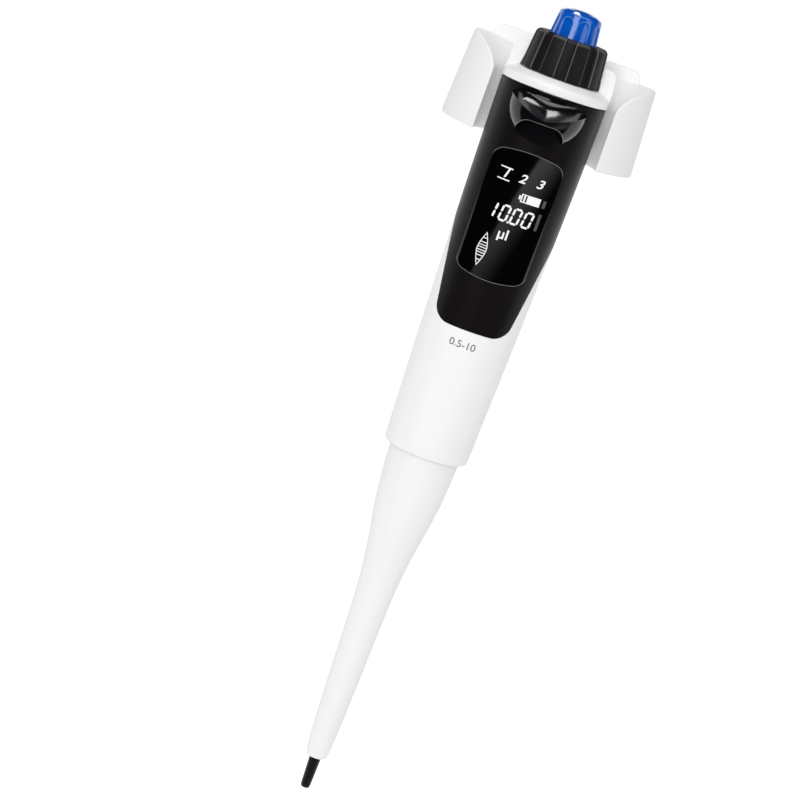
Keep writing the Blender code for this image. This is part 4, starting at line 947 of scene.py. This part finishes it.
def triggerLines(cheekSteps, crestSteps):
    # matching points round the shield's edge and lip, and round the finger arch
    archTop = lipHeight(0) - trigger["archUnder"]
    corner = trigger["archCorner"]
    half, archHalf = trigger["half"], trigger["archHalf"]
    flat = archHalf - corner
    startPsi = math.acos(archHalf / half)
    splitTurn = math.radians(trigger["split"])
    outer = []
    inner = [(archHalf, shieldFoot(archHalf))]
    for i in range(cheekSteps + 1):
        x = half * math.cos(startPsi * (1 - i / cheekSteps))
        outer.append((x, shieldFoot(x)))
        bend = splitTurn * (i - 1) / (cheekSteps - 1)
        if i:
            inner.append((flat + corner * math.cos(bend), archTop - corner + corner * math.sin(bend)))
    arcLength = corner * (math.pi / 2 - splitTurn)
    total = 2 * (arcLength + flat)
    for i in range(crestSteps + 1):
        x = half * math.sin(math.pi / 2 - math.pi * i / crestSteps)
        outer.append((x, lipHeight(x)))
        along = total * i / crestSteps
        mirrored = along > total / 2
        run = total - along if mirrored else along
        point = (flat - (run - arcLength), archTop)
        if run < arcLength:
            bend = splitTurn + run / corner
            point = (flat + corner * math.cos(bend), archTop - corner + corner * math.sin(bend))
        inner.append((-point[0] if mirrored else point[0], point[1]))
    for i in range(cheekSteps, -1, -1):
        outer.append((-outer[i][0], outer[i][1]))
        inner.append((-inner[i][0], inner[i][1]))
    return outer, inner


def buildTrigger():
    crestSteps = trigger["crestSteps"]
    outer, inner = triggerLines(trigger["cheekSteps"], crestSteps)
    count = len(outer) - 1

    def bandPoint(across, up):
        index = round(across * count)
        (ix, iz), (ox, oz) = inner[index], outer[index]
        x = ix + (ox - ix) * up
        z = iz + (oz - iz) * up
        return (x, -triggerOut(x, z), z)

    def wallPoint(across, up):
        x, z = inner[round(across * count)]
        floor = legOf(trigger["skinR"], x)
        return (x, -(floor + (triggerOut(x, z) - floor) * up), z)

    def floorPoint(across, up):
        x, z = inner[round(across * count)]
        foot = shieldFoot(x)
        return (x, -legOf(trigger["skinR"], x), foot + (z - foot) * up)

    def dishPoint(across, up):
        x = trigger["half"] * math.sin(math.pi / 2 - math.pi * across)
        lip = lipHeight(x)
        z = lip + (shieldHead(x) - lip) * up
        return (x, -triggerOut(x, z), z)

    shape = mappedGrid(count, 12, bandPoint)
    for columns, rows, toPoint in ((count, 5, wallPoint), (count, 8, floorPoint), (crestSteps, 16, dishPoint)):
        addShape(shape, mappedGrid(columns, rows, toPoint))
    bmesh.ops.remove_doubles(shape, verts=shape.verts, dist=0.003)
    closeBack(shape, trigger["backR"])
    evenNormals(shape)
    addPiece("ejectorTrigger", shape, glossBlack, "ejector", ["ejector_trigger"], edge=0.25,
             edgeAngle=38, segments=3)

    def rimPoint(across, up):
        # painted highlight: a thin pale line round the finger arch
        index = round(across * count)
        inside = Vector(inner[index])
        away = (Vector(outer[index]) - inside).normalized()
        x, z = inside + away * (trigger["rimStart"] + trigger["rim"] * up)
        return (x, -triggerOut(x, z) - trigger["rimLift"], z)

    rim = mappedGrid(count, 2, rimPoint)
    faceOutwards(rim)
    addPiece("triggerRim", rim, rimHighlight, "ejector", ())


def closeBack(shape, radius):
    # draws the open edge back to a cylinder round the pipette's axis and closes it along that cylinder
    edges = [e for e in shape.edges if e.is_boundary]
    bmesh.ops.extrude_edge_only(shape, edges=edges)
    edges = [e for e in shape.edges if e.is_boundary]
    for vert in {v for e in edges for v in e.verts}:
        vert.co.y = -legOf(radius, vert.co.x)
    filled = bmesh.ops.triangle_fill(shape, use_beauty=False, edges=edges, normal=(0, -1, 0))
    faces = [f for f in filled["geom"] if isinstance(f, bmesh.types.BMFace)]
    geom = list({v for f in faces for v in f.verts}) + list({e for f in faces for e in f.edges}) + faces
    for strip in range(-12, 13):
        geom = bmesh.ops.bisect_plane(shape, geom=geom, dist=0.0001, plane_co=(strip, 0, 0), plane_no=(1, 0, 0))["geom"]
    for item in geom:
        if isinstance(item, bmesh.types.BMVert):
            item.co.y = -legOf(radius, item.co.x)


buildTrigger()
print("trigger built")

# ejector sleeve and tip cone
sleeve = {
    "end": 11.3, "shown": 109.3, "head": 128.0, "endR": 3.32, "topR": 11.7, "wall": 1.0, "slender": 3.6,
    "shoulder": 0.741, "spread": 0.075, "rows": 60, "crowding": 1.15,
    "lip": ((-0.35, 0), (-0.08, 0.12), (0.15, 0.45)),  # its rounded end, from the end's radius and height
    "lipWall": 0.3,
}
cone = {"rootR": 1.97, "endR": 1.6, "noseR": 1.38, "noseZ": 0.9, "head": 18.0, "boreR": 0.55}


def sleeveRadius(height):
    share = min(max((height - sleeve["end"]) / sleeve["shown"], 0), 1)
    slender = sleeve["endR"] + sleeve["slender"] * math.sqrt(share)
    full = sleeve["topR"] - sleeve["endR"] - sleeve["slender"]
    swell = 1 / (1 + math.exp(-(share - sleeve["shoulder"]) / sleeve["spread"]))
    settled = 1 / (1 + math.exp(-(1 - sleeve["shoulder"]) / sleeve["spread"]))
    return slender + full * swell / settled


def buildSleeve():
    rows, end, wall = sleeve["rows"], sleeve["end"], sleeve["wall"]
    heights = [end + sleeve["shown"] * (i / rows) ** sleeve["crowding"] for i in range(rows + 1)]
    outer = [(sleeve["endR"] + out, end + up) for out, up in sleeve["lip"]]
    outer += [(sleeveRadius(h), h) for h in heights[2:]]
    outer.append((sleeve["topR"], sleeve["head"]))
    inner = [(sleeve["topR"] - wall, sleeve["head"])]
    inner += [(sleeveRadius(h) - wall, h) for h in reversed(heights[::3])]
    inner.append((outer[0][0] - sleeve["lipWall"], end))
    shape = spunShape(outer + inner + [outer[0]], 128)
    addPiece("ejectorSleeve", shape, whiteShell, "ejector", ["ejector_sleeve"], sharp=50)
    profile = filleted([
        (cone["boreR"], cone["head"], 0), (cone["rootR"], cone["head"], 0.2), (cone["rootR"], end, 0.3),
        (cone["endR"], cone["noseZ"], 0.8), (cone["noseR"], 0, 0.25), (cone["boreR"], 0, 0.1),
        (cone["boreR"], cone["head"], 0),
    ])
    shape = spunShape(profile, 64)
    addPiece("tipCone", shape, coneBlack, "pipette", ["tip_cone"], sharp=50)


buildSleeve()
print("sleeve and cone built")

# holder
holder = {
    "foot": 223.8, "head": 252.8, "back": 28.7, "topHalf": 30.9, "bottomHalf": 32.6, "channelR": 20.4,
    "edgeShare": 0.96, "wingEnd": 7.0, "bulge": 2.4, "funnelWidth": 17.6, "funnelDepth": 10.5, "plateHalf": 25.0,
    "plateRise": 3.9, "plateFoot": 14.5, "plateDepth": 4.4, "plateCorner": 3.0, "wingCorner": 2.2, "pocketHalf": 7.3,
    "pocketFoot": 243.1, "pocketBack": 27.1, "voxel": 0.42,
}


def closedFillet(corners):
    # a closed outline rounded through the open one: its first corner is repeated at both ends
    first = corners[0]
    second = corners[1]
    middle = ((first[0] + second[0]) / 2, (first[1] + second[1]) / 2, 0)
    return filleted([middle] + corners[1:] + [first, middle])[:-1]


def buildHolder():
    foot, head, back, top = holder["foot"], holder["head"], holder["back"], holder["topHalf"]
    channel, funnel = holder["channelR"], holder["funnelWidth"]
    start = Vector((channel * holder["edgeShare"], 0))
    end = Vector((top, back - holder["wingEnd"]))
    across = (end - start).normalized()
    outward = Vector((across.y, -across.x))
    right = []
    for i in range(16):
        share = i / 16
        point = start.lerp(end, share) + outward * holder["bulge"] * 4 * share * (1 - share)
        right.append((point.x, point.y, 0))
    right += [(end.x, end.y, holder["wingCorner"]), (top, back, holder["wingCorner"])]
    left = [(-x, y, r) for x, y, r in reversed(right)]
    shape = prism(closedFillet(right + left), foot, head)
    widen = holder["bottomHalf"] / top
    for vert in shape.verts:
        if vert.co.z < foot + 1:
            vert.co.x *= widen
    body = newObject("holderBody", shape)
    middle = channel + funnel
    mouth = []
    for i in range(25):
        bend = math.radians(90 + 90 * i / 24)
        mouth.append((middle + funnel * math.cos(bend), head - holder["funnelDepth"] * (1 - math.sin(bend))))
    profile = [(0, head + 2), (middle, head + 2)] + mouth
    profile += [(channel, foot - 2), (0, foot - 2)]
    tools = [("channel", spunShape(profile, 160), 'DIFFERENCE')]
    rise = head + holder["plateRise"]
    half = holder["plateHalf"]
    low = foot + holder["plateFoot"]
    corner = holder["plateCorner"]
    plate = closedFillet([(half, low, 0), (half, rise, corner), (-half, rise, corner), (-half, low, 0)])
    tools.append(("backplate", prism(plate, back - holder["plateDepth"], back, 1), 'UNION'))
    half, deep = holder["pocketHalf"], holder["pocketBack"]
    pocket = prism([(-half, 0), (half, 0), (half, deep), (-half, deep)], holder["pocketFoot"], rise + 2)
    tools.append(("pocket", pocket, 'DIFFERENCE'))
    helpers = []
    for name, tool, operation in tools:
        item = newObject(name, tool)
        helpers.append(item)
        step = body.modifiers.new(name, 'BOOLEAN')
        step.operation = operation
        step.object = item
        step.solver = 'EXACT'
    remesh = body.modifiers.new("even", 'REMESH')
    remesh.mode = 'VOXEL'
    remesh.voxel_size = holder["voxel"]
    soften = body.modifiers.new("soften", 'SMOOTH')
    soften.factor = 0.5
    soften.iterations = 10
    shape = shapeOf(body)
    for item in helpers + [body]:
        bpy.data.objects.remove(item)
    addPiece("holderBracket", shape, whiteHolder, "holder", ["holder_bracket"], sharp=70)


buildHolder()
print("holder built")

# pieces kept from the frame
kept = (
    (foamGrey, ("wall_pad",)),
    (greyPlastic, ("display_module", "button_switch", "chassis")),
    (boardGreen, ("main_board", "switch_board", "knob_sensor_ring")),
    (cellWrap, ("cell",)),
    (steel, ("charge_socket", "knob_retaining_ring", "button_spring", "ejector_spring", "guide_rod_left",
             "guide_rod_right", "motor", "motor_screw_1", "motor_screw_2", "motor_screw_3", "ejector_rod",
             "lead_screw", "piston")),
    (naturalPlastic, ("barrel", "button_stem", "ejector_slider", "ejector_collar", "piston_carrier")),
    (sealRubber, ("piston_seal",)),
    (brass, ("seal_retainer", "drive_nut")),
    (magnetGrey, ("knob_magnet_ring",)),
)
for material, names in kept:
    for name in names:
        for slot in nodes[name].material_slots:
            slot.material = material
print("kept pieces dressed")


def addFloor():
    shape = bmesh.new()
    bmesh.ops.create_grid(shape, x_segments=1, y_segments=1, size=1)
    floor = newObject("studioFloor", shape)
    floor.scale = studio["floorSpread"]
    floor.location = place((0, studio["floorBack"], -studio["floorDrop"]))
    material = bpy.data.materials.new("floorPaper")
    material.use_nodes = True
    tree = material.node_tree
    paper = tree.nodes["Principled BSDF"]
    setInputs(paper, {"Base Color": (0.9, 0.9, 0.9, 1), "Roughness": 0.9, "Emission Color": (1, 1, 1, 1)})
    seen, rays = seenPlain(tree)
    seen = mathNode(tree, 'MAXIMUM', seen, rays.outputs["Is Glossy Ray"])
    tree.links.new(mathNode(tree, 'MULTIPLY', seen, studio["floorGlow"]), paper.inputs["Emission Strength"])
    floor.data.materials.append(material)


addFloor()
